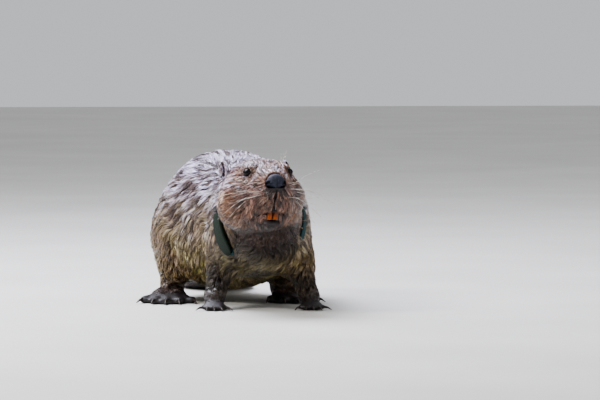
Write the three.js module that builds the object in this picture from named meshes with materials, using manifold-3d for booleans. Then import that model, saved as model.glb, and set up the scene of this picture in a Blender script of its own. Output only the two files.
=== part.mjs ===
// A beaver at rest on all fours, life size, with its head raised, in a webbing harness.
// Millimetres. +Z is up, the beaver faces -Y and its left side is +X. The paws, hind feet and tail
// rest on the floor, z = 0. The body is one smooth field of blended ellipsoids and tapered limbs;
// it is meshed, then parted into named pieces by thin cuts.
import * as THREE from "three";
import { mergeVertices } from "three/addons/utils/BufferGeometryUtils.js";
import Module from "manifold-3d";

const wasm = await Module();
wasm.setup();

// ---- driving dimensions, with y counted from the nose tip back ------------------------------
const GAP = 0.4; // the thin cut between two neighbouring pieces
const BODY_CELL = 18; // mesh size on the body
const LEG_CELL = 13;
const HEAD_CELL = 9.6; // mesh size on the head
const BODY_BLEND = 30; // how softly the large masses run together
const LIMB_BLEND = 20;
const HEAD_BLEND = 20;

const SWAY = -40; // sideways shift of the hips and tail
const SWAY_FROM = 190;
const SWAY_TO = 420;

const NOSE = new THREE.Vector3(10, 10, 206); // centre of the nose pad
const HEAD_YAW = 13; // degrees, towards its left
const HEAD_PITCH = 11; // degrees, nose up
const JAW_LEAN = 0.155; // the mouth is set over to the right, more so further down
const LEAN_FROM = -15;

const ELBOW = { x: 58, y: 216, z: 72, r: 24 };
const WRIST = { x: 73, y: 186, z: 30, r: 17 };
const KNEE = { x: 86, y: 346, z: 56, r: 23 };
const ANKLE = { x: 86, y: 408, z: 33, r: 20 };
const FOREPAW = { turn: 4, palm: 17, palmWidth: 9, reach: 34, fan: 19, r: 4.6, claw: 13, clawR: 2.5 };
const HINDFOOT = { turn: 8, palm: 60, palmWidth: 19, reach: 116, fan: 39, r: 6.4, claw: 15, clawR: 3 };

const EYE = { y: 50, z: 15.5, r: 6.5, proud: 2.2 }; // in the head's own frame, from the nose pad
const EAR = { x: 48, y: 114, z: 33, radii: [7, 10, 13.5], rim: 2.2, bowl: [2.2, -5.5, 0.3] };
const INCISOR = { width: 8.4, spacing: 9, top: -38, tip: -57, front: 10.5, depth: 6.5, curl: 2 };
const NOSE_PAD = { radii: [14, 9, 11.5], back: 7, wing: [9.5, 8, -3], wingRadii: [6.5, 8, 8] };
const NOSTRIL = { centre: [14, 1.5, -5.5], radii: [3, 6, 2.3] };
const JAW_PARTING = { y: 8, z: -50, slope: 0.09 };

// The underside of the blade is pressed flat by the floor.
const TAIL = { from: 574, full: 650, to: 836, width: 120, thickness: 20, press: 2 };
const TAIL_ROOT = { width: 58, height: 67, lift: 8 };

// Bands lie along the coat: sunk is how far their underside is below it. Turns are in degrees
// round a loop, from the beaver's left side up over its back.
const WEBBING = { width: 15, thickness: 2.4, sunk: 5.4 };
const PANEL = { width: 31, ends: 0.4, thickness: 4, sunk: 3.4, from: 177, span: 56, steps: 14 };
const NECK_LOOP = { centre: [-6, 165, 146], lean: 12 };
const GIRTH = { centre: [-12, 280, 126], lean: 4 };
const STRAP_STEPS = 40; // pieces round each loop
const BUCKLE = { along: 32, across: 25, sunk: 4, proud: 6.5, eased: 2, corner: 4, turn: -20 };
const SLIDER = { along: 9, across: 22, sunk: 6.5, proud: 1.6, eased: 1, corner: 2, turn: 171 };

// ---- fields: signed distance, negative inside ------------------------------------------------
const smoothMin = (a, b, k) => {
  const h = Math.max(k - Math.abs(a - b), 0) / k;
  return Math.min(a, b) - (h * h * k) / 4;
};

const blend = (k, ...fields) => (x, y, z) =>
  fields.reduce((d, f) => smoothMin(d, f(x, y, z), k), Infinity);

const ellipsoid = (cx, cy, cz, rx, ry, rz, pitch = 0) => {
  const c = Math.cos(THREE.MathUtils.degToRad(pitch));
  const s = Math.sin(THREE.MathUtils.degToRad(pitch));
  return (x, y, z) => {
    const px = (x - cx) / rx;
    const py = ((y - cy) * c + (z - cz) * s) / ry;
    const pz = ((z - cz) * c - (y - cy) * s) / rz;
    const k0 = Math.hypot(px, py, pz);
    const k1 = Math.hypot(px / rx, py / ry, pz / rz);
    return k1 < 1e-9 ? -Math.min(rx, ry, rz) : (k0 * (k0 - 1)) / k1;
  };
};

// A limb with a round end of radius ra at a and rb at b.
const limb = (a, ra, b, rb) => {
  const [dx, dy, dz] = [b[0] - a[0], b[1] - a[1], b[2] - a[2]];
  const length2 = dx * dx + dy * dy + dz * dz;
  return (x, y, z) => {
    const along = (x - a[0]) * dx + (y - a[1]) * dy + (z - a[2]) * dz;
    const t = Math.min(Math.max(along / length2, 0), 1);
    const away = Math.hypot(x - a[0] - t * dx, y - a[1] - t * dy, z - a[2] - t * dz);
    return away - (ra + (rb - ra) * t);
  };
};

const mirrored = (f) => (x, y, z) => f(Math.abs(x), y, z);
const sway = (y) => SWAY * THREE.MathUtils.smoothstep(y, SWAY_FROM, SWAY_TO);
const swayed = (f) => (x, y, z) => f(x - sway(y), y, z);

// The head's own frame: origin at the nose pad, y back, z up.
const headFrame = new THREE.Matrix4()
  .makeRotationZ(THREE.MathUtils.degToRad(HEAD_YAW))
  .multiply(new THREE.Matrix4().makeRotationX(THREE.MathUtils.degToRad(-HEAD_PITCH)))
  .setPosition(NOSE);
const intoHead = headFrame.clone().invert();
const lean = (z) => JAW_LEAN * Math.min(z - LEAN_FROM, 0);
const inHead = (f) => {
  const e = intoHead.elements;
  return (x, y, z) => {
    const across = e[0] * x + e[4] * y + e[8] * z + e[12];
    const back = e[1] * x + e[5] * y + e[9] * z + e[13];
    const up = e[2] * x + e[6] * y + e[10] * z + e[14];
    return f(across - lean(up), back, up);
  };
};
const headPoint = (x, y, z) => new THREE.Vector3(x + lean(z), y, z).applyMatrix4(headFrame);

// ---- the beaver's masses ---------------------------------------------------------------------
const trunkField = swayed(
  blend(
    BODY_BLEND,
    ellipsoid(0, 238, 135, 68, 108, 88), // ribs
    ellipsoid(0, 318, 127, 100, 112, 96), // belly
    ellipsoid(-3, 380, 128, 108, 106, 111, -6), // hips and the top of the arched back
    ellipsoid(0, 456, 104, 97, 82, 78, -22), // rump
  ),
);
const neckField = blend(
  BODY_BLEND,
  limb([-8, 228, 142], 62, [-6, 144, 168], 63),
  ellipsoid(-2, 166, 116, 58, 56, 58), // breast and throat
);
const tailRootField = swayed(limb([0, 484, 70], 50, [0, 604, 27], 25));

const forearm = limb(
  [ELBOW.x, ELBOW.y, ELBOW.z],
  ELBOW.r,
  [WRIST.x, WRIST.y, WRIST.z - 8],
  WRIST.r,
);
const shank = limb([KNEE.x, KNEE.y, KNEE.z], KNEE.r, [ANKLE.x, ANKLE.y, ANKLE.z - 4], ANKLE.r);
const forelegField = mirrored(
  blend(
    LIMB_BLEND,
    ellipsoid(44, 208, 126, 28, 54, 62, 12), // shoulder
    limb([50, 210, 100], 27, [ELBOW.x, ELBOW.y, ELBOW.z], ELBOW.r), // upper arm
    forearm,
  ),
);
const thighField = swayed(
  mirrored(
    blend(
      LIMB_BLEND,
      ellipsoid(80, 396, 100, 42, 80, 66, -10), // thigh
      ellipsoid(86, 338, 78, 27, 38, 37), // knee
      shank,
    ),
  ),
);

const skullField = blend(
  HEAD_BLEND,
  ellipsoid(0, 100, 7, 50, 62, 41), // cranium
  ellipsoid(0, 56, 5, 29, 54, 30, 8), // forehead and bridge of the nose
  ellipsoid(0, 37, -14, 29, 29, 28), // muzzle
  mirrored(ellipsoid(15, 31, -30, 18, 20, 17)), // whisker pads
  mirrored(ellipsoid(35.5, 84, -20, 32, 48, 35, -12)), // cheeks
  mirrored(ellipsoid(25, 55, 24, 11, 16, 9, 10)), // brows
);
const jawField = blend(
  HEAD_BLEND,
  ellipsoid(0, 41, -56, 24, 28, 14.5, 6), // chin
  mirrored(ellipsoid(18, 68, -46, 21, 36, 19)), // jaw angle
  ellipsoid(0, 96, -36, 36, 40, 27), // throat
);
const mouthField = ellipsoid(0, 11, -53, 13, 17, 6, -8);
const hollowed = (f, hollow) => (x, y, z) => Math.max(f(x, y, z), -hollow(x, y, z));

const headField = inHead(blend(HEAD_BLEND, skullField, jawField));
const torsoField = blend(BODY_BLEND, trunkField, neckField, tailRootField);
const legsField = blend(LIMB_BLEND, forelegField, thighField);
const wholeField = blend(LIMB_BLEND, torsoField, legsField, headField);
const beaverField = hollowed(wholeField, inHead(mouthField));

// ---- meshing ---------------------------------------------------------------------------------
const gradient = (f, x, y, z, step = 0.5) => [
  (f(x + step, y, z) - f(x - step, y, z)) / (2 * step),
  (f(x, y + step, z) - f(x, y - step, z)) / (2 * step),
  (f(x, y, z + step) - f(x, y, z - step)) / (2 * step),
];

// A net of quads over the surface where the field is zero, one point in each cell that it
// crosses, moved onto the surface. The box has to hold the whole surface.
function surfaceNet(field, low, high, cell) {
  const count = low.map((l, i) => Math.ceil((high[i] - l) / cell) + 4);
  const at = (i, j, k) => (k * count[1] + j) * count[0] + i;
  const place = (i, axis) => low[axis] + (i - 1.5) * cell;
  const value = new Float64Array(count[0] * count[1] * count[2]);
  for (let k = 0; k < count[2]; k++)
    for (let j = 0; j < count[1]; j++)
      for (let i = 0; i < count[0]; i++)
        value[at(i, j, k)] = field(place(i, 0), place(j, 1), place(k, 2));

  const points = [];
  const pointOf = new Map();
  const corners = [0, 1, 2, 3, 4, 5, 6, 7].map((c) => [c & 1, (c >> 1) & 1, c >> 2]);
  for (let k = 0; k < count[2] - 1; k++)
    for (let j = 0; j < count[1] - 1; j++)
      for (let i = 0; i < count[0] - 1; i++) {
        const v = corners.map(([a, b, c]) => value[at(i + a, j + b, k + c)]);
        const sum = [0, 0, 0];
        let crossings = 0;
        for (let a = 0; a < 8; a++)
          for (const bit of [1, 2, 4]) {
            const b = a | bit;
            if (a & bit || v[a] < 0 === v[b] < 0) continue;
            const t = v[a] / (v[a] - v[b]);
            for (let n = 0; n < 3; n++) sum[n] += corners[a][n] * (1 - t) + corners[b][n] * t;
            crossings++;
          }
        if (!crossings) continue;
        let [x, y, z] = [i, j, k].map((index, n) => place(index + sum[n] / crossings, n));
        for (let pass = 0; pass < 3; pass++) {
          const g = gradient(field, x, y, z);
          const pull = field(x, y, z) / Math.max(g[0] ** 2 + g[1] ** 2 + g[2] ** 2, 0.2);
          x -= THREE.MathUtils.clamp(pull * g[0], -cell / 3, cell / 3);
          y -= THREE.MathUtils.clamp(pull * g[1], -cell / 3, cell / 3);
          z -= THREE.MathUtils.clamp(pull * g[2], -cell / 3, cell / 3);
        }
        pointOf.set(at(i, j, k), points.length / 3);
        points.push(x, y, z);
      }

  const faces = [];
  const quad = (a, b, c, d, inside) => {
    const [p, q, r, s] = inside ? [a, b, c, d] : [d, c, b, a];
    const apart = (m, n) =>
      Math.hypot(...[0, 1, 2].map((axis) => points[3 * m + axis] - points[3 * n + axis]));
    if (apart(p, r) < apart(q, s)) faces.push(p, q, r, p, r, s);
    else faces.push(q, r, s, q, s, p);
  };
  for (let k = 1; k < count[2] - 1; k++)
    for (let j = 1; j < count[1] - 1; j++)
      for (let i = 1; i < count[0] - 1; i++) {
        const here = value[at(i, j, k)] < 0;
        const cellAt = (a, b, c) => pointOf.get(at(i - a, j - b, k - c));
        if (here !== value[at(i + 1, j, k)] < 0)
          quad(cellAt(0, 1, 1), cellAt(0, 0, 1), cellAt(0, 0, 0), cellAt(0, 1, 0), here);
        if (here !== value[at(i, j + 1, k)] < 0)
          quad(cellAt(1, 0, 1), cellAt(1, 0, 0), cellAt(0, 0, 0), cellAt(0, 0, 1), here);
        if (here !== value[at(i, j, k + 1)] < 0)
          quad(cellAt(1, 1, 0), cellAt(0, 1, 0), cellAt(0, 0, 0), cellAt(1, 0, 0), here);
      }
  return new THREE.BufferGeometry()
    .setAttribute("position", new THREE.Float32BufferAttribute(points, 3))
    .setIndex(faces);
}

// A skin over rings of points, each ring with the same count, closed by caps or into a hoop.
function loft(rings, hoop = false) {
  const sides = rings[0].length;
  const points = rings.flat();
  const faces = [];
  const spans = hoop ? rings.length : rings.length - 1;
  for (let r = 0; r < spans; r++)
    for (let s = 0; s < sides; s++) {
      const next = ((r + 1) % rings.length) * sides;
      const a = r * sides + s;
      const b = r * sides + ((s + 1) % sides);
      const c = next + ((s + 1) % sides);
      faces.push(a, b, c, a, c, next + s);
    }
  const caps = hoop ? [] : [[0, true], [rings.length - 1, false]];
  for (const [ring, turned] of caps) {
    const middle = points.length;
    points.push(rings[ring].reduce((m, p) => m.add(p), new THREE.Vector3()).divideScalar(sides));
    for (let s = 0; s < sides; s++) {
      const a = ring * sides + s;
      const b = ring * sides + ((s + 1) % sides);
      faces.push(...(turned ? [b, a, middle] : [a, b, middle]));
    }
  }
  return new THREE.BufferGeometry().setFromPoints(points).setIndex(faces);
}

// Rings of a tapering spike with a droop, from one point to another.
function spike(from, to, fromR, toR, droop, sides = 5, steps = 2) {
  const along = new THREE.Vector3().subVectors(to, from);
  const across = new THREE.Vector3(-along.y, along.x, 0).normalize();
  const rise = new THREE.Vector3().crossVectors(along, across).normalize();
  const rings = [];
  for (let i = 0; i <= steps; i++) {
    const t = i / steps;
    const middle = from.clone().addScaledVector(along, t);
    middle.z += droop * 4 * t * (1 - t);
    const r = fromR + (toR - fromR) * t;
    rings.push(
      Array.from({ length: sides }, (_, s) => {
        const turn = (2 * Math.PI * s) / sides;
        return middle
          .clone()
          .addScaledVector(across, r * Math.cos(turn))
          .addScaledVector(rise, r * Math.sin(turn));
      }),
    );
  }
  return loft(rings);
}

function ball(centre, radii, across = 14, down = 10) {
  return new THREE.SphereGeometry(1, across, down)
    .scale(...radii)
    .translate(centre.x, centre.y, centre.z);
}

// ---- solids ----------------------------------------------------------------------------------
function solid(geometry) {
  const bare = geometry.clone();
  bare.deleteAttribute("normal");
  bare.deleteAttribute("uv");
  const merged = mergeVertices(bare, 1e-4);
  const vertProperties = new Float32Array(merged.attributes.position.array);
  const closed = (triVerts) =>
    new wasm.Manifold(new wasm.Mesh({ numProp: 3, vertProperties, triVerts }));
  const made = closed(new Uint32Array(merged.index.array));
  return made.volume() > 0 ? made : closed(new Uint32Array(merged.index.array).reverse());
}

const join = (...solids) => solids.reduce((a, b) => a.add(b));

// The largest body of a cut, without the crumbs beside it.
const largest = (cut) =>
  cut.decompose().reduce((a, b) => (b.volume() > a.volume() ? b : a));

// A box that fills the side of a plane that its normal points to, from GAP / 2 past the plane.
function beyond(point, normal, size = 2000) {
  const box = new THREE.BoxGeometry(size, size, size).translate(0, 0, size / 2 + GAP / 2);
  const turn = new THREE.Quaternion().setFromUnitVectors(
    new THREE.Vector3(0, 0, 1),
    normal.clone().normalize(),
  );
  return solid(box.applyQuaternion(turn).translate(point.x, point.y, point.z));
}

const partByPlane = (whole, point, normal) => [
  whole.intersect(beyond(point, normal)),
  whole.intersect(beyond(point, normal.clone().negate())),
];

const within = (low, high) => {
  const middle = low.map((l, i) => (l + high[i]) / 2);
  const half = low.map((l, i) => (high[i] - l) / 2);
  return (x, y, z) =>
    Math.max(
      Math.abs(x - middle[0]) - half[0],
      Math.abs(y - middle[1]) - half[1],
      Math.abs(z - middle[2]) - half[2],
    );
};

// What a field holds inside a box, as a solid.
function meshWithin(field, low, high, cell) {
  const box = within(low, high);
  const inside = (x, y, z) => Math.max(field(x, y, z), box(x, y, z));
  const [wideLow, wideHigh] = [low.map((v) => v - cell), high.map((v) => v + cell)];
  return surfaceNet(inside, wideLow, wideHigh, cell);
}

// The region nearer to one mass than to the rest, grown by an amount, for parting along a crease.
function regionOf(own, rest, low, high, grow) {
  const nearer = (x, y, z) => (own(x, y, z) - rest(x, y, z)) / 2 + 0.8;
  const net = meshWithin(nearer, low, high, BODY_CELL);
  net.computeVertexNormals();
  const p = net.attributes.position;
  const n = net.attributes.normal;
  for (let i = 0; i < p.count; i++)
    p.setXYZ(
      i,
      p.getX(i) + n.getX(i) * grow,
      p.getY(i) + n.getY(i) * grow,
      p.getZ(i) + n.getZ(i) * grow,
    );
  return solid(net);
}

// ---- feet ------------------------------------------------------------------------------------
const SIDES = [
  ["left", 1],
  ["right", -1],
];
const UP = new THREE.Vector3(0, 0, 1);
const aboveFloor = beyond(new THREE.Vector3(0, 0, -GAP / 2), UP);

// A point of a foot: u outward, v forward of the ankle, z up from the floor.
const footPoint = (joint, foot, side, shift, u, v, z) => {
  const turn = THREE.MathUtils.degToRad(foot.turn);
  return new THREE.Vector3(
    side * (joint.x + u * Math.cos(turn) + v * Math.sin(turn)) + shift,
    joint.y - v * Math.cos(turn) + u * Math.sin(turn),
    z,
  );
};

// Five toes, the middle one longest: where each starts, where it ends and the tip of its claw.
function toesOf(joint, foot, side, shift) {
  return [-1, -0.5, 0, 0.5, 1].map((across) => {
    const u = across * foot.fan;
    const v = foot.reach - 0.24 * foot.reach * across * across;
    const [du, dv] = [u * 0.3, v - foot.palm].map((d) => d / Math.hypot(u * 0.3, v - foot.palm));
    const reach = foot.r + foot.claw;
    return {
      start: footPoint(joint, foot, side, shift, across * foot.palmWidth, foot.palm, foot.r + 2),
      tip: footPoint(joint, foot, side, shift, u, v, foot.r),
      quick: footPoint(joint, foot, side, shift, u + du, v + dv, foot.r + 0.5),
      point: footPoint(joint, foot, side, shift, u + du * reach, v + dv * reach, foot.clawR - 1),
    };
  });
}

const limbBetween = (a, ra, b, rb) => limb(a.toArray(), ra, b.toArray(), rb);

function footField(joint, foot, side, shift, toes, shank, webbed) {
  const spot = (u, v, z) => footPoint(joint, foot, side, shift, u, v, z);
  const heel = spot(0, 0, joint.r * 0.7);
  const masses = [
    (x, y, z) => shank(side * (x - shift), y, z),
    limbBetween(heel, joint.r * 0.8, spot(0, foot.palm * 0.3, joint.r * 0.6), joint.r * 0.7),
    ...[-1, 1].map((across) =>
      limbBetween(
        heel,
        joint.r * 0.75,
        spot(across * foot.palmWidth * 0.8, foot.palm, foot.r * 1.5),
        foot.r * 1.9,
      ),
    ),
    ...toes.map((toe) => limbBetween(toe.start, foot.r * 1.15, toe.tip, foot.r)),
  ];
  if (webbed) masses.push(webField(toes));
  return blend(foot.r, ...masses);
}

// The web: thin struts side by side between neighbouring toes, which run together into a sheet.
const WEB = { struts: 5, half: 4, thickness: 5.6, level: 3.2, reach: 0.9 };

function webField(toes) {
  const struts = toes.slice(1).flatMap((toe, i) =>
    Array.from({ length: WEB.struts }, (_, n) => {
      const t = (n + 0.5) / WEB.struts;
      const start = new THREE.Vector3().lerpVectors(toes[i].start, toe.start, t);
      const tip = new THREE.Vector3().lerpVectors(toes[i].tip, toe.tip, t);
      const end = new THREE.Vector3().lerpVectors(start, tip, WEB.reach);
      const flat = limb([start.x, start.y, 0], WEB.half, [end.x, end.y, 0], WEB.half);
      return (x, y, z) =>
        Math.hypot(Math.max(flat(x, y, 0), 0), z - WEB.level) - WEB.thickness / 2;
    }),
  );
  return (x, y, z) => Math.min(...struts.map((strut) => strut(x, y, z)));
}

const CLAW_TIP_R = 0.8;
const CLAW_ARCH = 1.2;
const clawOf = (toe, foot, spare) =>
  solid(spike(toe.quick, toe.point, foot.clawR + spare, CLAW_TIP_R + spare, CLAW_ARCH));

// A foot from its joint down, flat underneath, with a socket for each claw.
function buildFoot(joint, foot, side, shift, cell, shank, webbed) {
  const toes = toesOf(joint, foot, side, shift);
  const spots = toes.flatMap((toe) => [toe.start, toe.tip, toe.quick]);
  spots.push(new THREE.Vector3(side * joint.x + shift, joint.y, 0));
  const box = new THREE.Box3().setFromPoints(spots).expandByScalar(joint.r + 8);
  const field = footField(joint, foot, side, shift, toes, shank, webbed);
  const low = [box.min.x, box.min.y, -joint.r];
  const high = [box.max.x, box.max.y, joint.z + 10];
  const top = beyond(new THREE.Vector3(0, 0, joint.z), UP.clone().negate());
  let made = solid(meshWithin(field, low, high, cell)).intersect(top).intersect(aboveFloor);
  const claws = toes.map((toe) => clawOf(toe, foot, 0));
  const sockets = toes.map((toe) => clawOf(toe, foot, GAP));
  for (const socket of sockets) made = made.subtract(socket);
  return { made: largest(made), claws };
}

// ---- harness ---------------------------------------------------------------------------------
// The distance from a point inside to the surface of the whole beaver, along a heading.
function toSurface(field, from, heading, start = 0) {
  const p = new THREE.Vector3();
  let far = start;
  for (let step = 0; step < 60; step++) {
    p.copy(from).addScaledVector(heading, far);
    far -= field(p.x, p.y, p.z) * 0.7;
  }
  return far;
}

const outwardAt = (field, p) => new THREE.Vector3(...gradient(field, p.x, p.y, p.z)).normalize();

// How wide a panel is at t, from 0 to 1 along it: full in the middle, rounded off to its ends.
function rounded(t, ends) {
  const offMiddle = Math.abs(2 * t - 1);
  const squareness = 4;
  return Math.sqrt(1 - (1 - ends * ends) * offMiddle ** squareness);
}

// Rings of a flat band that follows points on the coat.
function bandOf(points, closed, band, spare, tall = spare) {
  const count = points.length;
  const rings = points.map((p, i) => {
    const before = points[closed ? (i + count - 1) % count : Math.max(i - 1, 0)];
    const after = points[closed ? (i + 1) % count : Math.min(i + 1, count - 1)];
    const along = new THREE.Vector3().subVectors(after, before).normalize();
    const out = outwardAt(wholeField, p);
    out.addScaledVector(along, -out.dot(along)).normalize();
    const across = new THREE.Vector3().crossVectors(along, out);
    const share = band.ends ? rounded(i / (count - 1), band.ends) : 1;
    const half = (share * band.width) / 2 + spare;
    const low = -band.sunk - tall;
    const high = band.thickness - band.sunk + tall;
    return [
      [-half, low],
      [half, low],
      [half, high],
      [-half, high],
    ].map(([a, o]) => p.clone().addScaledVector(across, a).addScaledVector(out, o));
  });
  return solid(loft(rings, closed));
}

// The point of the coat at a turn round a loop.
function loopPoint({ centre, lean }, degrees) {
  const middle = new THREE.Vector3(...centre);
  const tilt = THREE.MathUtils.degToRad(lean);
  const turn = THREE.MathUtils.degToRad(degrees);
  const heading = new THREE.Vector3(
    Math.cos(turn),
    Math.sin(turn) * Math.sin(tilt),
    Math.sin(turn) * Math.cos(tilt),
  );
  return middle.addScaledVector(heading, toSurface(wholeField, middle, heading, 40));
}

const loopPoints = (loop, count) =>
  Array.from({ length: count }, (_, i) => loopPoint(loop, (360 * i) / count));

// A squat block with cut corners, its top edges eased, at its turn round a loop.
function block(loop, shape, spare) {
  const p = loopPoint(loop, shape.turn);
  const [before, after] = [-3, 3].map((step) => loopPoint(loop, shape.turn + step));
  const along = new THREE.Vector3().subVectors(after, before).normalize();
  const out = outwardAt(wholeField, p);
  out.addScaledVector(along, -out.dot(along)).normalize();
  const across = new THREE.Vector3().crossVectors(along, out);
  const outline = (inset) => {
    const a = shape.along / 2 + spare - inset;
    const b = shape.across / 2 + spare - inset;
    const c = shape.corner;
    return [
      [a, b - c],
      [a - c, b],
      [c - a, b],
      [-a, b - c],
      [-a, c - b],
      [c - a, -b],
      [a - c, -b],
      [a, c - b],
    ];
  };
  const levels = [
    [-shape.sunk - spare, 0],
    [shape.proud - shape.eased, 0],
    [shape.proud + spare, shape.eased],
  ];
  const rings = levels.map(([height, inset]) =>
    outline(inset).map(([a, b]) =>
      p.clone().addScaledVector(along, a).addScaledVector(across, b).addScaledVector(out, height),
    ),
  );
  return solid(loft(rings));
}

function linePoints(from, to, heading, count) {
  return Array.from({ length: count }, (_, i) => {
    const p = new THREE.Vector3().lerpVectors(from, to, i / (count - 1));
    return p.addScaledVector(heading, toSurface(wholeField, p, heading, 30));
  });
}

// ---- the head's own parts --------------------------------------------------------------------
const headSolidAt = (centre, radii, across, down) => {
  const shape = ball(new THREE.Vector3(...centre), radii, across, down);
  return solid(shape.applyMatrix4(headFrame));
};

function nosePad(spare) {
  const grown = (radii) => radii.map((r) => r + spare);
  const [x, y, z] = NOSE_PAD.wing;
  const main = headSolidAt([0, NOSE_PAD.back, 0], grown(NOSE_PAD.radii), 12, 8);
  const wings = [-1, 1].map((side) =>
    headSolidAt([side * x, y, z], grown(NOSE_PAD.wingRadii), 10, 6),
  );
  return join(main, ...wings);
}

function nostrils() {
  const [x, y, z] = NOSTRIL.centre;
  return join(...[-1, 1].map((side) => headSolidAt([side * x, y, z], NOSTRIL.radii, 8, 4)));
}

function eyeCentre(side) {
  const from = headPoint(0, EYE.y, EYE.z);
  const heading = headPoint(side, EYE.y - 0.25, EYE.z + 0.1).sub(from).normalize();
  const far = toSurface(wholeField, from, heading, 20);
  return from.addScaledVector(heading, far + EYE.proud - EYE.r);
}

const eyeball = (side, spare) =>
  solid(ball(eyeCentre(side), [EYE.r + spare, EYE.r + spare, EYE.r + spare], 12, 8));

const earHull = (side, spare) =>
  headSolidAt([side * EAR.x, EAR.y, EAR.z], EAR.radii.map((r) => r + spare), 16, 10);

function ear(side) {
  const radii = EAR.radii.map((r) => r - EAR.rim);
  const [out, back, up] = EAR.bowl;
  const middle = [side * (EAR.x + out), EAR.y + back, EAR.z + up];
  return earHull(side, 0).subtract(headSolidAt(middle, radii, 16, 10));
}

// An upper incisor: a chisel with a rounded front face and a worn edge, curling back.
function incisor(side, spare) {
  const steps = 5;
  const rings = [];
  for (let i = 0; i <= steps; i++) {
    const t = i / steps;
    const z = INCISOR.top + (INCISOR.tip - INCISOR.top) * t;
    const back = INCISOR.front + INCISOR.curl * t * t;
    const depth = INCISOR.depth * (1 - 0.6 * t * t) + 2 * spare;
    const half = (INCISOR.width * (1 - 0.08 * t)) / 2 + spare;
    const x = (side * INCISOR.spacing) / 2;
    rings.push(
      [
        [-1, 1],
        [-1, 0.35],
        [-0.6, 0],
        [0.6, 0],
        [1, 0.35],
        [1, 1],
      ].map(([across, deep]) =>
        headPoint(x + across * half, back - spare + depth * deep, z - (t === 1 ? spare : 0)),
      ),
    );
  }
  return solid(loft(rings));
}

// ---- tail ------------------------------------------------------------------------------------
// A broad flat paddle, thickest along the middle, lying on the floor.
function tailBlade() {
  const steps = 16;
  const rings = [];
  for (let i = 0; i <= steps; i++) {
    const t = Math.sin((Math.PI * i) / steps / 2);
    const y = TAIL.from + GAP + (TAIL.to - TAIL.from - GAP) * t;
    const widen = THREE.MathUtils.smoothstep(y, TAIL.from - 20, TAIL.full);
    const round = Math.sqrt(Math.max(1 - ((t - 0.62) / 0.385) ** 2, 0));
    const end = t < 0.62 ? 1 : round;
    const half = ((TAIL_ROOT.width + (TAIL.width - TAIL_ROOT.width) * widen) / 2) * end;
    const flat = THREE.MathUtils.smoothstep(y, TAIL.from - 10, TAIL.from + 70);
    const high = (TAIL_ROOT.height + (TAIL.thickness - TAIL_ROOT.height) * flat) * (1 - 0.45 * t * t);
    const x = sway(y);
    const raised = TAIL_ROOT.lift * (1 - flat) - TAIL.press * flat;
    rings.push(
      Array.from({ length: 20 }, (_, s) => {
        const turn = (2 * Math.PI * s) / 20;
        const lift = Math.sign(Math.sin(turn)) * Math.abs(Math.sin(turn)) ** (0.8 + 0.5 * flat);
        const rise = lift > 0 ? 0.5 : 0.5 - 0.12 * flat;
        return new THREE.Vector3(x + half * Math.cos(turn), y, high * (0.46 + rise * lift) + raised);
      }),
    );
  }
  return solid(loft(rings.slice(0, -1))).intersect(aboveFloor);
}

// ---- assembly --------------------------------------------------------------------------------
const COLOUR = {
  fur: 0x6e5238,
  face: 0x8a6443,
  foot: 0x3b302b,
  tail: 0x38342f,
  nose: 0x2b2c32,
  eye: 0x120f0e,
  ear: 0x4a3a2e,
  tooth: 0xc8600e,
  claw: 0x2a2421,
  webbing: 0x1f4f52,
  panel: 0x1d2d27,
  buckle: 0x141416,
};
const nodes = new Map();
const add = (name, made, colour) => nodes.set(name, { made, colour });

// The neck is parted from the head behind the ears and the corners of the jaw.
const body = solid(surfaceNet(wholeField, [-190, -30, 0], [160, 650, 290], BODY_CELL));
const headMesh = solid(meshWithin(beaverField, [-110, -12, 80], [110, 170, 265], HEAD_CELL));
const nape = headPoint(0, 134, 40);
const backOfHead = headPoint(0, 134 + 1, 40 - 0.13).sub(nape);
const [bodyBehind] = partByPlane(body, nape, backOfHead);
let [, head] = partByPlane(headMesh, nape, backOfHead);
head = largest(head);

for (const [name, side] of SIDES) {
  const eye = eyeball(side, 0);
  add(`eye_${name}`, eye, COLOUR.eye);
  head = head.subtract(eyeball(side, GAP));
  add(`ear_${name}`, ear(side), COLOUR.ear);
  head = head.subtract(earHull(side, GAP));
  add(`incisor_${name}`, incisor(side, 0), COLOUR.tooth);
  head = head.subtract(incisor(side, GAP));
}
add("nose_pad", nosePad(0).subtract(nostrils()), COLOUR.nose);
head = head.subtract(nosePad(GAP));
const jawEdge = headPoint(0, JAW_PARTING.y, JAW_PARTING.z);
const jawUp = headPoint(0, JAW_PARTING.y - JAW_PARTING.slope, JAW_PARTING.z + 1).sub(jawEdge);
const [upperHead, lowerHead] = partByPlane(head, jawEdge, jawUp);
add("head", largest(upperHead), COLOUR.face);
add("lower_jaw", largest(lowerHead), COLOUR.face);

// Legs are parted along the crease where they leave the body.
const forelegRegion = (grow) =>
  regionOf(forelegField, torsoField, [-140, 110, 0], [140, 300, 230], grow);
const thighRegion = (grow) =>
  regionOf(thighField, torsoField, [-200, 270, 0], [160, 500, 210], grow);

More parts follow.
